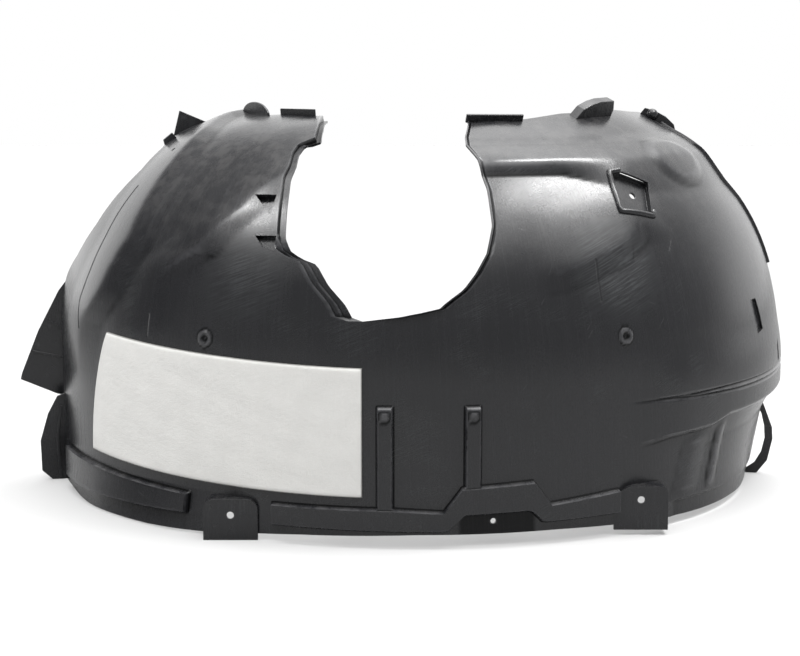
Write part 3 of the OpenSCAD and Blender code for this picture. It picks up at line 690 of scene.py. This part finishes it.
def tab_front(x, shape):
    """How far in front of the wheel axis a tab's face lies: just proud of the wall over the tab's width."""
    half = shape.tab_w / MM / 2.0
    return math.sqrt((shape.arch_r / MM) ** 2 - (abs(x) - half) ** 2) + shape.tab_t / MM


def tab_solid(x, low, top, left_r, right_r, inset, shape):
    """A lip tab's block, inset on every side, from its face back to the tabs' common back plane."""
    p, f = prism(tab_outline(shape, low, top, left_r, right_r, inset), TAB_BACK, tab_front(x, shape) - inset)
    return upright(p, x), f


def build_tab(name, shape, material):
    """A lip tab: a hollow box with a flat face, rounded shoulders and a clip hole, open towards the wheel."""
    x, low, top, hole_z, left_r, right_r = TABS[name]
    obj = mesh_object(name, *tab_solid(x, low, top, left_r, right_r, 0.0, shape), material)
    middle = (shape.arch_r - shape.wall_t / 2.0) / MM
    hole = prism(ring_outline(shape.clip_hole / MM / 2.0), 300.0, 500.0)
    cut(obj, [tab_solid(x, low - 1.0, top, left_r, right_r, shape.tab_t / MM, shape)])
    cut(obj, [prism(ring_outline(middle, 300), -5.0, top + 5.0)])
    cut(obj, [(upright(hole[0], x, hole_z), hole[1])])
    obj.data.set_sharp_from_angle(angle=math.radians(30))
    return soften(obj, 0.0009, 50.0)


def standing(name, a, h, across, thick, points, shape, material):
    """A plate that stands on the wall, drawn as along or up the wall and outwards. across is true for a plate
    that runs along the arch and false for one that runs up the slope."""
    p, f = prism(points, 0.0, thick)
    if across:
        p = np.column_stack([p[:, 0], -p[:, 2], p[:, 1]])
    else:
        p = np.column_stack([p[:, 2] - thick / 2 * MM, p[:, 0], p[:, 1]])
    return soften(mesh_object(name, place(p, local_frame(a, h, shape)), f, material, math.radians(30)))


def radial(name, a, thick, points, material):
    """A plate in the upright plane through the wheel's axis at angle a, drawn as radius and height."""
    turn = math.radians(a)
    along, out = math.cos(turn), math.sin(turn)
    axes = np.array([(out, -along, 0.0), (0.0, 0.0, 1.0), (along, out, 0.0)])
    p, f = prism(points, -thick / 2, thick / 2)
    return soften(mesh_object(name, p @ axes, f, material, math.radians(30)))


def ball(name, centre, radius, material):
    """A small smooth ball: circles of latitude between two poles."""
    n, m = 24, 12
    lat, lon = np.linspace(-math.pi / 2, math.pi / 2, m + 1)[1:-1], np.arange(n) * 2 * math.pi / n
    lat, lon = np.meshgrid(lat, lon, indexing="ij")
    grid = np.stack([np.cos(lat) * np.cos(lon), np.cos(lat) * np.sin(lon), np.sin(lat)], axis=-1)
    points = np.concatenate([grid.reshape(-1, 3), [[0, 0, -1], [0, 0, 1]]]) * radius * MM + centre
    ids = np.arange((m - 1) * n).reshape(m - 1, n)
    ids = np.hstack([ids, ids[:, :1]])
    faces = quads(ids).tolist()
    faces += [[(m - 1) * n, ids[0, k + 1], ids[0, k]] for k in range(n)]
    faces += [[(m - 1) * n + 1, ids[-1, k], ids[-1, k + 1]] for k in range(n)]
    return mesh_object(name, points, faces, material)


def rim(name, path, width, height, shape, material):
    """A raised bead along a path of (angle, height) on the wall: a rounded section swept along it."""
    path = np.asarray(path, float)
    a, h = path[:, 0], path[:, 1]
    lift = relief(a, h, shape)
    base = wall_points(a, h, lift, shape)
    normal = (wall_points(a, h, lift + 1.0, shape) - base) / MM
    along = np.gradient(base, axis=0)
    side = np.cross(normal, along / np.linalg.norm(along, axis=1, keepdims=True))
    half = width / 2.0
    section = np.array([(-half, ROOT), (-half, 0.6 * height), (-0.5 * half, height), (0.5 * half, height),
                        (half, 0.6 * height), (half, ROOT)]) * MM
    grid = base[:, None] + section[None, :, :1] * side[:, None] + section[None, :, 1:] * normal[:, None]
    n, m = len(path), len(section)
    ids = np.arange(n * m).reshape(n, m)
    faces = quads(np.hstack([ids, ids[:, :1]])).tolist() + [ids[0].tolist(), ids[-1].tolist()]
    return mesh_object(name, grid.reshape(-1, 3), faces, material, math.radians(50))


def on_wall(at, points, shape):
    """Angles and heights of points drawn in millimetres about a place on the wall."""
    a, h = at
    r = np.linalg.norm(wall_points(np.array(a), np.array(h), 0.0, shape)[:2]) / MM
    points = np.asarray(points, float)
    return np.column_stack([a + np.degrees(points[:, 0] / r), h + points[:, 1]])


def hand_over(pieces):
    """Attaches pieces to the body that the moulded shell rides on, so they ride with it, and hides the
    model's shell.
    """
    for piece in pieces:
        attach(piece, "root")
        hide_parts(SHELL)


def tools(context):
    """The sizes and the finish of the small plastic pieces."""
    return context.scene.liner_shape, bpy.data.materials["liner_plastic_parts"]


class LINER_OT_shell(bpy.types.Operator):
    """Builds the moulded shell with its holes"""
    bl_idname = "liner.shell"
    bl_label = "Shell"

    def execute(self, context):
        shape = context.scene.liner_shape
        shell = build_shell(shape, bpy.data.materials["liner_plastic"])
        forms = [(at, ring_outline(SMALL_R), THROUGH) for at in SMALL_HOLES]
        forms += [(SLOT_AT, SLOT, THROUGH), (END_SLOT_AT, END_SLOT, THROUGH), (PAD_AT, PAD, CLIP_DEPTH)]
        forms += [(*pocket, POCKET_DEPTH) for pocket in POCKETS]
        cutters = []
        for at, points, depth in forms:
            p, f = prism(points, -depth, THROUGH)
            cutters.append((place(p, local_frame(*at, shape)), f))
        for x, low, top, _, left_r, right_r in TABS.values():
            cutters.append(tab_solid(x, low - 1.0, top, left_r, right_r, shape.tab_t / MM, shape))
        cut(shell, cutters)
        hand_over([shell])
        return {"FINISHED"}


class LINER_OT_recesses(bpy.types.Operator):
    """Builds the cups behind the clip recess, the two pockets and the two slots"""
    bl_idname = "liner.recesses"
    bl_label = "Recesses"

    def execute(self, context):
        shape, material = tools(context)
        pieces = []
        for name, at, points, depth in (("clip_recess", PAD_AT, PAD, CLIP_DEPTH),
                                        ("pocket_upper", *POCKETS[0], POCKET_DEPTH),
                                        ("pocket_lower", *POCKETS[1], POCKET_DEPTH),
                                        ("slot_back", SLOT_AT, SLOT, SLOT_DEPTH),
                                        ("end_slot_back", END_SLOT_AT, END_SLOT, END_SLOT_DEPTH)):
            p, f = cup(points, depth, shape.wall_t / MM)
            where = local_frame(*at, shape)
            piece = mesh_object(name, place(p, where), f, material)
            if name == "clip_recess":
                hole = prism(ring_outline(shape.clip_hole / MM / 2.0), -THROUGH, THROUGH)
                cut(piece, [(place(hole[0], where), hole[1])])
            piece.data.set_sharp_from_angle(angle=math.radians(30))
            pieces.append(soften(piece, 0.0006))
        edge = spread(PAD_BEAD, np.linalg.norm(np.diff(PAD_BEAD, axis=0), axis=1), 5.0)
        pieces.append(rim("clip_recess_bead", on_wall(PAD_AT, edge, shape), 6.0, 3.2, shape, material))
        hand_over(pieces)
        return {"FINISHED"}


class LINER_OT_tabs(bpy.types.Operator):
    """Builds the two lip tabs"""
    bl_idname = "liner.tabs"
    bl_label = "Lip tabs"

    def execute(self, context):
        hand_over([build_tab(name, *tools(context)) for name in TABS])
        return {"FINISHED"}


class LINER_OT_ends(bpy.types.Operator):
    """Builds the left end's plate and foot with their ribs and seam, and the right end's strap and bead"""
    bl_idname = "liner.ends"
    bl_label = "End flanges"

    def execute(self, context):
        shape, material = tools(context)
        r = shape.arch_r / MM
        half = PLATE_T / 2 / per_degree(shape)
        plate_a, foot_a, strap_a = half - shape.left_span, 5.0 - shape.left_span, shape.right_span - half
        heights = np.arange(250.0, 95.0, -15.0)
        side = wall_points(np.full(len(heights), plate_a), heights, -shape.wall_t / MM / 2, shape) / MM
        inner = np.column_stack([np.hypot(side[:, 0], side[:, 1]) - r, side[:, 2]])
        pieces = []
        for name, a, thick, outline, shift in (
                ("end_plate", plate_a, PLATE_T, np.concatenate([inner, END_PLATE]), 0.0),
                ("end_plate_upper_rib", plate_a, 5.4, UPPER_RIB, 0.0),
                ("end_plate_lower_rib", plate_a, 5.4, LOWER_RIB, 0.0),
                ("end_foot", foot_a, PLATE_T, END_FOOT, 0.0),
                ("end_foot_rib", foot_a, 8.0, FOOT_RIB, 0.0),
                ("end_strap", strap_a, PLATE_T, STRAP, shape.right_swell / MM - 2.5)):
            pieces.append(radial(name, a, thick, np.array(outline) + (r + shift, 0.0), material))
        h = np.arange(272.0, 514.0, 6.0)
        edge = np.column_stack([shape.right_span - 0.25 - lookup(h, RIGHT_BACK), h])
        pieces.append(rim("right_end_bead", edge, 3.2, 3.4, shape, material))
        h = np.arange(206.0, 398.0, 6.0)
        seam = np.column_stack([lookup(h, LEFT_SEAM), h])
        pieces.append(rim("left_seam", seam, 1.6, 0.45, shape, material))
        hand_over(pieces)
        return {"FINISHED"}


class LINER_OT_top_forms(bpy.types.Operator):
    """Builds the stiffening lips, the lug, the boss and the brackets along the top edges"""
    bl_idname = "liner.top_forms"
    bl_label = "Top edge forms"

    def execute(self, context):
        shape, material = tools(context)
        pieces = []
        for name, (a, h, across, thick, points) in PLATES.items():
            h = lookup(a, TOP) - 1.5 if h is None else h
            pieces.append(standing(name, a, h, across, thick, points, shape, material))
            if name == "top_boss":
                soften(pieces[-1], 0.003, 20.0)
        centre = place(np.array([[0.0, 0.0, 5.0 * MM]]), local_frame(76, 518, shape))[0]
        pieces.append(ball("end_ball", centre, 7.5, material))
        hand_over(pieces)
        return {"FINISHED"}


# The felt's size, the glue's gap and how far in its rim is rounded, in millimetres, and the felt's mesh.
FELT_LONG, FELT_HIGH, FELT_GAP, FELT_RIM = 390.0, 142.0, 0.3, 6.0
FELT_COLUMNS, FELT_ROWS = 220, 84


def felt_grid(u, v):
    """Angle and height of the felt's point at u from its right edge to its left and v from its foot up. The
    left edge leans in towards the top, and the foot and the top rise to the left by a power of u."""
    a = -7.4 - (49.1 - 5.0 * v * v) * u
    low = 55.0 + 11.0 * u ** 1.5
    high = 196.0 + 14.0 * u ** 1.3
    return a, low + (high - low) * v


def build_felt(shape, material):
    """The felt pad: a front and a back that follow the wall, with a rounded rim between them. The front is
    uneven by two products of sines and a fixed random part of a tenth of a millimetre, which fade out at the
    rim."""
    n, m = FELT_COLUMNS, FELT_ROWS
    u, v = np.meshgrid(np.linspace(0.0, 1.0, n), np.linspace(0.0, 1.0, m))
    a, h = felt_grid(u, v)
    x = a * per_degree(shape)
    to_rim = np.minimum(np.minimum(u, 1 - u) * FELT_LONG, np.minimum(v, 1 - v) * FELT_HIGH)
    inner = np.clip(to_rim / FELT_RIM, 0.0, 1.0)
    noise = np.random.default_rng(4).normal(size=u.shape)
    waves = 0.16 * np.sin(x / 9.0 + h / 15.0) * np.sin(h / 7.0 - x / 21.0)
    waves = waves + 0.12 * np.sin(x / 31.0) * np.sin(h / 19.0)
    body = shape.felt_t / MM * (0.62 + 0.38 * np.sqrt(inner * (2.0 - inner)))
    off = FELT_GAP + body + (waves + 0.06 * noise - FELT_GAP) * inner
    front, back = wall_points(a, h, off, shape), wall_points(a, h, FELT_GAP, shape)
    ids = np.arange(n * m).reshape(m, n)
    faces = [quads(ids, flip=True), quads(ids + n * m)]
    for line in (ids[0, ::-1], ids[:, 0], ids[-1, :], ids[::-1, -1]):
        faces.append(strip(line, line + n * m))
    points = np.concatenate([front, back]).reshape(-1, 3)
    obj = mesh_object("felt_sheet", points, np.concatenate(faces), material, math.radians(60))
    store(obj.data, "inside", np.concatenate([inner.reshape(-1), inner.reshape(-1) * 0.0]))
    return obj


class LINER_OT_felt(bpy.types.Operator):
    """Builds the felt pad"""
    bl_idname = "liner.felt"
    bl_label = "Felt pad"

    def execute(self, context):
        felt = build_felt(context.scene.liner_shape, bpy.data.materials["liner_felt"])
        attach(felt, "root")
        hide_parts(FELT)
        return {"FINISHED"}


class Nodes:
    """Adds nodes to a tree in one line each: a socket or a plain value for each named input."""

    def __init__(self, tree):
        self.tree = tree

    def feed(self, node, inputs):
        """Links each input that is given a socket and sets each that is given a value."""
        for key, value in inputs.items():
            if isinstance(value, bpy.types.NodeSocket):
                self.tree.links.new(value, node.inputs[key])
            else:
                node.inputs[key].default_value = value

    def add(self, kind, inputs, **settings):
        node = self.tree.nodes.new(kind)
        for key, value in settings.items():
            setattr(node, key, value)
        self.feed(node, inputs)
        return node.outputs

    def math(self, operation, a, b=0.0):
        return self.add("ShaderNodeMath", {0: a, 1: b}, operation=operation)[0]

    def times(self, a, b):
        return self.math("MULTIPLY", a, b)

    def plus(self, a, b):
        return self.math("ADD", a, b)

    def less(self, mask, share):
        """What is left of 1 once a share of the mask is taken off."""
        return self.math("SUBTRACT", 1.0, self.times(mask, share))

    def total(self, *parts):
        """The sum of values, each times its share."""
        total = None
        for value, share in parts:
            part = self.times(value, share)
            total = part if total is None else self.plus(total, part)
        return total

    def noise(self, vector, scale, detail=2.0, roughness=0.5):
        inputs = {"Vector": vector, "Scale": scale, "Detail": detail, "Roughness": roughness}
        return self.add("ShaderNodeTexNoise", inputs)["Fac"]

    def stretched(self, vector, scale, turn, axis=2, **noise):
        """Noise drawn out along one direction: the vector is turned about an axis, then scaled unevenly."""
        rotation = [0.0, 0.0, 0.0]
        rotation[axis] = math.radians(turn)
        inputs = {"Vector": vector, "Rotation": rotation, "Scale": [1.0 / value for value in scale]}
        mapped = self.add("ShaderNodeMapping", inputs, vector_type="TEXTURE")
        return self.noise(mapped["Vector"], 1.0, **noise)

    def away(self, vector, x, y):
        """Distance on the flat pattern from a point, in metres."""
        return self.add("ShaderNodeVectorMath", {0: vector, 1: (x, y, 0.0)}, operation="DISTANCE")["Value"]

    def step(self, value, low, high, to=1.0):
        inputs = {"Value": value, "From Min": low, "From Max": high, "To Max": to}
        return self.add("ShaderNodeMapRange", inputs, interpolation_type="SMOOTHSTEP")["Result"]

    def mix(self, factor, a, b):
        return self.add("ShaderNodeMix", {0: factor, 6: a, 7: b}, data_type="RGBA")[2]

    def stain(self, colour, mask, share, tone):
        """The colour with a share of the mask in another tone."""
        return self.mix(self.times(mask, share), colour, (*tone, 1.0))

    def axes(self, vector):
        return self.add("ShaderNodeSeparateXYZ", {"Vector": vector})

    def mark(self, name, output="Fac"):
        """One of the numbers kept at each point of the mesh."""
        return self.add("ShaderNodeAttribute", {}, attribute_name=name)[output]

    def place(self):
        """The point's own place, in metres."""
        return self.add("ShaderNodeTexCoord", {})["Object"]

    def camera_ray(self):
        return self.add("ShaderNodeLightPath", {})["Is Camera Ray"]


def new_material(name):
    """A material, the helper for its nodes and its own shader."""
    material = bpy.data.materials.new(name)
    material.use_nodes = True
    return material, Nodes(material.node_tree), material.node_tree.nodes["Principled BSDF"]


def new_group(name, inputs, outputs):
    """An empty shader node group with its sockets, given as names and kinds."""
    tree = bpy.data.node_groups.new(name, "ShaderNodeTree")
    for way, sockets in (("INPUT", inputs), ("OUTPUT", outputs)):
        for socket, kind in sockets.items():
            tree.interface.new_socket(socket, in_out=way, socket_type="NodeSocket" + kind)
    return tree, tree.nodes.new("NodeGroupInput"), tree.nodes.new("NodeGroupOutput")


# Small marks on the flat pattern, in metres, with their radius and how dark they are: two pin holes beside
# the right slot, one at the right foot, and a shallow disc near the right wing's top edge. Each is a shallow
# bump; the holes are painted nearly black as painted shade, and the disc is painted a little darker.
SPOTS = ((0.5614, 0.220, 0.0016, 0.95), (0.5567, 0.214, 0.0016, 0.95), (0.4669, 0.053, 0.0022, 0.95),
         (0.2160, 0.482, 0.0050, 0.4))
# The two fine grooves on the flat pattern, in metres: their place along the arch and their two ends' heights.
# Each is a bump with painted shade along it.
LINES = ((0.2148, 0.259, 0.311), (-0.3335, 0.212, 0.240))
BLACK = (0.003, 0.003, 0.003)


def moulded_surface():
    """Moulded plastic: a fine spark-eroded grain, soft ripples, faint flow streaks, scuffed patches, brushed
    diagonal scratches beside the right fold, a few long scratches, lighter rubbed edges, a thin film of dust
    on what faces up, the two fine grooves and the small marks. The rubbed edges and the scuffed patches
    beside the right fold and near the left pockets are lighter partly as a painted highlight; corners, the
    two grooves and the pin holes are darkened as painted shade. Gives colour, roughness, height, and how open
    the place is, which is 1 but for corners, where the painted shade also lowers the specular."""
    given = {"Place": "Vector", "Pattern": "Vector", "Colour": "Color", "Wear_and_painted_light": "Float", "Up": "Float"}
    made = {"Colour": "Color", "Roughness": "Float", "Height": "Float", "Open": "Float"}
    tree, inp, out = new_group("moulded_surface", given, made)
    k = Nodes(tree)
    spot, flat, colour, wear_and_painted_light, up = [inp.outputs[name] for name in given]
    grain = k.noise(spot, 1500.0, 1.0)
    ripple = k.noise(spot, 160.0, 2.0)
    cloud = k.noise(spot, 9.0, 4.0, 0.6)
    fine_cloud = k.noise(spot, 60.0, 3.0, 0.6)
    streaks = k.step(k.stretched(flat, (300.0, 6.0, 1.0), 3.0, detail=3.0), 0.42, 0.8)
    patches = k.step(k.noise(spot, 14.0, 3.0), 0.5, 0.68)
    brushed = k.step(k.stretched(flat, (30.0, 760.0, 1.0), 22.0, detail=3.0), 0.40, 0.68)
    # Painted highlight: the scuff marks and scratches are real, and in these two places, beside the right
    # fold and near the left pockets, their lighter colour is also a painted highlight.
    right_scuff_sheen = k.step(k.away(flat, 0.243, 0.300), 0.075, 0.02)
    left_scuff_sheen = k.step(k.away(flat, -0.205, 0.290), 0.075, 0.01)
    scuff_sheen_zone = k.math("MAXIMUM", right_scuff_sheen, k.times(left_scuff_sheen, 0.6))
    scuffs_and_sheen = k.times(brushed, k.math("MAXIMUM", scuff_sheen_zone, k.times(patches, 0.3)))
    line = k.step(k.stretched(flat, (800.0, 21.0, 1.0), -37.0, detail=1.0), 0.77, 0.81)
    cross = k.step(k.stretched(flat, (700.0, 26.0, 1.0), 68.0, detail=1.0), 0.78, 0.82)
    scratches = k.math("MAXIMUM", line, cross)
    # The edges are rubbed, and their lighter colour is also a painted highlight on the edges.
    worn_and_glint = k.times(k.math("MAXIMUM", wear_and_painted_light, 0.0), k.step(fine_cloud, 0.25, 0.55))
    corner = k.math("MAXIMUM", k.times(wear_and_painted_light, -1.0), 0.0)
    dust = k.times(up, k.step(fine_cloud, 0.35, 0.8))
    for mask, share, tone in ((cloud, 0.4, (0.017, 0.017, 0.020)), (streaks, 0.05, (0.045, 0.045, 0.05)),
                              (scuffs_and_sheen, 0.3, (0.085, 0.092, 0.096)), (scratches, 0.3, (0.12, 0.12, 0.125)),
                              (worn_and_glint, 0.5, (0.085, 0.085, 0.09)), (dust, 0.1, (0.24, 0.23, 0.22))):
        colour = k.stain(colour, mask, share, tone)
    rough = k.total((cloud, 0.06), (grain, 0.08), (scuffs_and_sheen, 0.10), (scuff_sheen_zone, 0.12), (streaks, 0.02),
                    (worn_and_glint, -0.10), (dust, 0.04))
    height = k.total((grain, 0.4), (ripple, 0.2), (scratches, -0.5), (scuffs_and_sheen, -0.15))
    along, up_wall, _ = k.axes(flat)
    for x, low, high in LINES:
        side = k.math("ABSOLUTE", k.math("SUBTRACT", along, x))
        end = k.math("ABSOLUTE", k.math("SUBTRACT", up_wall, (low + high) / 2.0))
        groove = k.times(k.step(side, 0.0022, 0.0004), k.step(end, (high - low) / 2.0, (high - low) / 2.4))
        height = k.plus(height, k.times(groove, -4.0))
        # Painted shade along the groove.
        colour = k.stain(colour, groove, 0.5, (0.004, 0.004, 0.005))
    for x, y, radius, share in SPOTS:
        mark = k.step(k.away(flat, x, y), radius + 0.0006, radius - 0.0004)
        height = k.plus(height, k.times(mark, -3.0 * share))
        # Painted shade in the pin holes; the disc is only painted a little darker.
        colour = k.stain(colour, mark, share, BLACK)
    # Painted shade: corners, and the places set to a corner, are darkened nearly to black.
    colour = k.stain(colour, corner, 0.85, BLACK)
    k.feed(out, {"Colour": colour, "Roughness": rough, "Height": height, "Open": k.less(corner, 0.8)})
    return tree


def build_plastic(name, colour, pattern, surface):
    """The moulded plastic. pattern tells whether the piece has its own flat pattern, and its own values of
    abrasion and painted light, to go by.
    """
    _, k, shader = new_material(name)
    spot = k.place()
    if pattern:
        flat, wear_and_painted_light = k.mark("pattern", "Vector"), k.mark("wear_and_painted_light")
    else:
        flat, wear_and_painted_light = spot, k.step(k.noise(spot, 90.0, 2.0), 0.6, 0.8, 0.25)
    up = k.step(k.axes(k.add("ShaderNodeNewGeometry", {})["Normal"])["Z"], 0.25, 0.95)
    made = k.add("ShaderNodeGroup", {"Place": spot, "Pattern": flat, "Wear_and_painted_light": wear_and_painted_light, "Up": up,
                                     "Colour": (*colour, 1.0)}, node_tree=surface)
    bump = k.add("ShaderNodeBump", {"Height": made["Height"], "Strength": 0.5, "Distance": 0.00025})
    # The specular is lowered in the corners, together with their painted shade.
    k.feed(shader, {"Base Color": made["Colour"], "Roughness": k.plus(made["Roughness"], 0.19),
                    "Normal": bump["Normal"], "Specular IOR Level": k.times(made["Open"], 0.42)})


def build_felt_material(name, colour):
    """Needle felt: short crossing fibres in three directions, needle pits, soft mottling, a little lint and a
    rim painted darker."""
    _, k, shader = new_material(name)
    spot = k.place()
    fibres = None
    for turn in (12.0, 74.0, -41.0):
        strand = k.step(k.stretched(spot, (2400.0, 900.0, 150.0), turn, axis=1, detail=2.0), 0.45, 0.7)
        fibres = strand if fibres is None else k.math("MAXIMUM", fibres, strand)
    mottle = k.noise(spot, 34.0, 4.0, 0.6)
    tuft = k.noise(spot, 420.0, 3.0)
    lint = k.step(k.noise(spot, 260.0, 1.0), 0.72, 0.8)
    cell = k.add("ShaderNodeTexVoronoi", {"Vector": spot, "Scale": 330.0})["Distance"]
    pits = k.math("SUBTRACT", 1.0, k.step(cell, 0.0, 0.28))
    shade = k.mix(k.step(mottle, 0.3, 0.72), (*[c * 0.96 for c in colour], 1.0), (*colour, 1.0))
    shade = k.stain(shade, pits, 0.10, (0.52, 0.51, 0.49))
    shade = k.stain(shade, lint, 0.35, (0.60, 0.57, 0.53))
    # The rim is painted darker.
    shade = k.mix(k.step(k.mark("inside"), 0.0, 0.25), (0.17, 0.168, 0.16, 1.0), shade)
    height = k.total((fibres, 0.5), (tuft, 0.8), (pits, -0.3))
    bump = k.add("ShaderNodeBump", {"Height": height, "Strength": 0.55, "Distance": 0.0004})
    k.feed(shader, {"Base Color": shade, "Normal": bump["Normal"], "Sheen Weight": 0.15,
                    "Roughness": k.plus(k.times(tuft, 0.1), 0.86), "Specular IOR Level": 0.1})


def build_floor_material(name, colour):
    """A matt white floor that shows the camera plain white where no shadow falls."""
    material, k, shader = new_material(name)
    grey = [c * 0.36 for c in colour]
    k.feed(shader, {"Base Color": (*grey, 1.0), "Roughness": 0.95, "Specular IOR Level": 0.0})
    glow = k.add("ShaderNodeEmission", {"Color": (*colour, 1.0), "Strength": k.times(k.camera_ray(), 0.2)})
    both = k.add("ShaderNodeAddShader", {0: shader.outputs["BSDF"], 1: glow["Emission"]})
    k.feed(material.node_tree.nodes["Material Output"], {"Surface": both["Shader"]})


class LINER_OT_finish(bpy.types.Operator):
    """Builds the materials"""
    bl_idname = "liner.finish"
    bl_label = "Materials"

    def execute(self, context):
        finish = context.scene.liner_finish
        surface = moulded_surface()
        build_plastic("liner_plastic", finish.plastic, True, surface)
        build_plastic("liner_plastic_parts", finish.plastic, False, surface)
        build_felt_material("liner_felt", finish.felt)
        build_floor_material("studio_floor", finish.backdrop)
        return {"FINISHED"}


def build_world(studio, colour):
    """Plain white to the camera. To everything else a studio with a bright ceiling that is nearly dark at its
    rear left corner, white walls behind with a brighter panel and a darker cove on the left, plainer walls in
    front and a dark gap between them on the left."""
    world = bpy.data.worlds.new("studio")
    world.use_nodes = True
    k = Nodes(world.node_tree)
    along, depth, high = k.axes(k.add("ShaderNodeTexCoord", {})["Generated"])
    left = k.times(along, -1.0)
    level = k.plus(k.step(depth, 0.1, 0.5, studio.back_light), studio.front_light)
    gap = k.times(k.times(k.step(left, 0.6, 0.85), k.step(depth, -0.3, 0.0)), k.step(depth, 0.5, 0.36))
    level = k.times(level, k.less(gap, 0.75))
    panel = k.times(k.step(left, 0.3, 0.6), k.step(depth, 0.35, 0.55))
    level = k.plus(level, k.times(panel, 0.3))
    cove = k.times(k.step(high, 0.42, 0.56), k.step(left, 0.10, 0.35))
    level = k.times(level, k.less(cove, 0.8))
    corner = k.step(k.plus(left, depth), 0.4, 0.8)
    level = k.plus(level, k.times(k.step(high, 0.58, 0.95, studio.top_light), k.less(corner, 0.92)))
    seen = k.camera_ray()
    level = k.plus(k.times(level, k.less(seen, 1.0)), seen)
    k.feed(world.node_tree.nodes["Background"], {"Color": (*colour, 1.0), "Strength": level})
    return world


# The softboxes, in metres: place, the point each one faces, size, and its roll in degrees.
LAMPS = {"right_softbox": ((0.93, -0.32, 1.78), (0.17, -0.35, 0.37), (0.78, 0.18), -40.0),
         "left_softbox": ((-1.10, -0.52, 1.63), (-0.17, -0.37, 0.33), (0.25, 0.25), 0.0)}


def add_lamp(name, spot, target, size, roll, power):
    """A soft rectangular lamp that faces its target and is rolled about its own axis."""
    data = bpy.data.lights.new(name, "AREA")
    data.shape, data.size, data.size_y, data.energy = "RECTANGLE", size[0], size[1], power
    lamp = bpy.data.objects.new(name, data)
    lamp.location = spot
    way = Vector(target) - Vector(spot)
    turn = way.to_track_quat("-Z", "Y") @ Quaternion((0.0, 0.0, 1.0), math.radians(roll))
    lamp.rotation_euler = turn.to_euler()
    bpy.context.scene.collection.objects.link(lamp)


class LINER_OT_stage(bpy.types.Operator):
    """Builds the floor, the lamps and the camera"""
    bl_idname = "liner.stage"
    bl_label = "Stage"

    def execute(self, context):
        studio, finish = context.scene.liner_studio, context.scene.liner_finish
        context.scene.world = build_world(studio, finish.backdrop)
        mesh_object("floor", [(-9, -9, 0), (9, -9, 0), (9, 9, 0), (-9, 9, 0)], [(0, 1, 2, 3)],
                             bpy.data.materials["studio_floor"])
        for name, power in (("right_softbox", studio.right_power), ("left_softbox", studio.left_power)):
            add_lamp(name, *LAMPS[name], power)
        data = bpy.data.cameras.new("camera")
        data.lens, data.sensor_width = studio.lens, 36.0
        camera = bpy.data.objects.new("camera", data)
        camera.location = (studio.camera_x, studio.camera_y, studio.camera_z)
        camera.rotation_euler = (math.pi / 2 - studio.pitch, 0.0, 0.0)
        context.scene.collection.objects.link(camera)
        context.scene.camera = camera
        context.scene.view_settings.view_transform = "Standard"
        return {"FINISHED"}


class LINER_PT_panel(bpy.types.Panel):
    """Lists the operators, sizes and colours"""
    bl_label = "Arch Liner"
    bl_idname = "LINER_PT_panel"
    bl_space_type = "VIEW_3D"
    bl_region_type = "UI"
    bl_category = "Arch Liner"

    def draw(self, context):
        column = self.layout.column()
        for operator in STEPS:
            column.operator(operator.bl_idname)
        for group in (getattr(context.scene, name) for name in GROUPS):
            for name in group.bl_rna.properties.keys():
                if name not in {"rna_type", "name"}:
                    column.prop(group, name)


STEPS = (LINER_OT_finish, LINER_OT_shell, LINER_OT_recesses, LINER_OT_tabs, LINER_OT_ends, LINER_OT_top_forms,
         LINER_OT_felt, LINER_OT_stage)
GROUPS = {"liner_shape": LinerShape, "liner_finish": LinerFinish, "liner_studio": LinerStudio}
CLASSES = (*GROUPS.values(), *STEPS, LINER_PT_panel)


def register():
    for cls in CLASSES:
        bpy.utils.register_class(cls)
    for name, group in GROUPS.items():
        setattr(bpy.types.Scene, name, bpy.props.PointerProperty(type=group))


def unregister():
    for name in GROUPS:
        delattr(bpy.types.Scene, name)
    for cls in reversed(CLASSES):
        bpy.utils.unregister_class(cls)


def main():
    register()
    for operator in STEPS:
        group, name = operator.bl_idname.split(".")
        getattr(getattr(bpy.ops, group), name)()


if __name__ == "__main__":
    main()
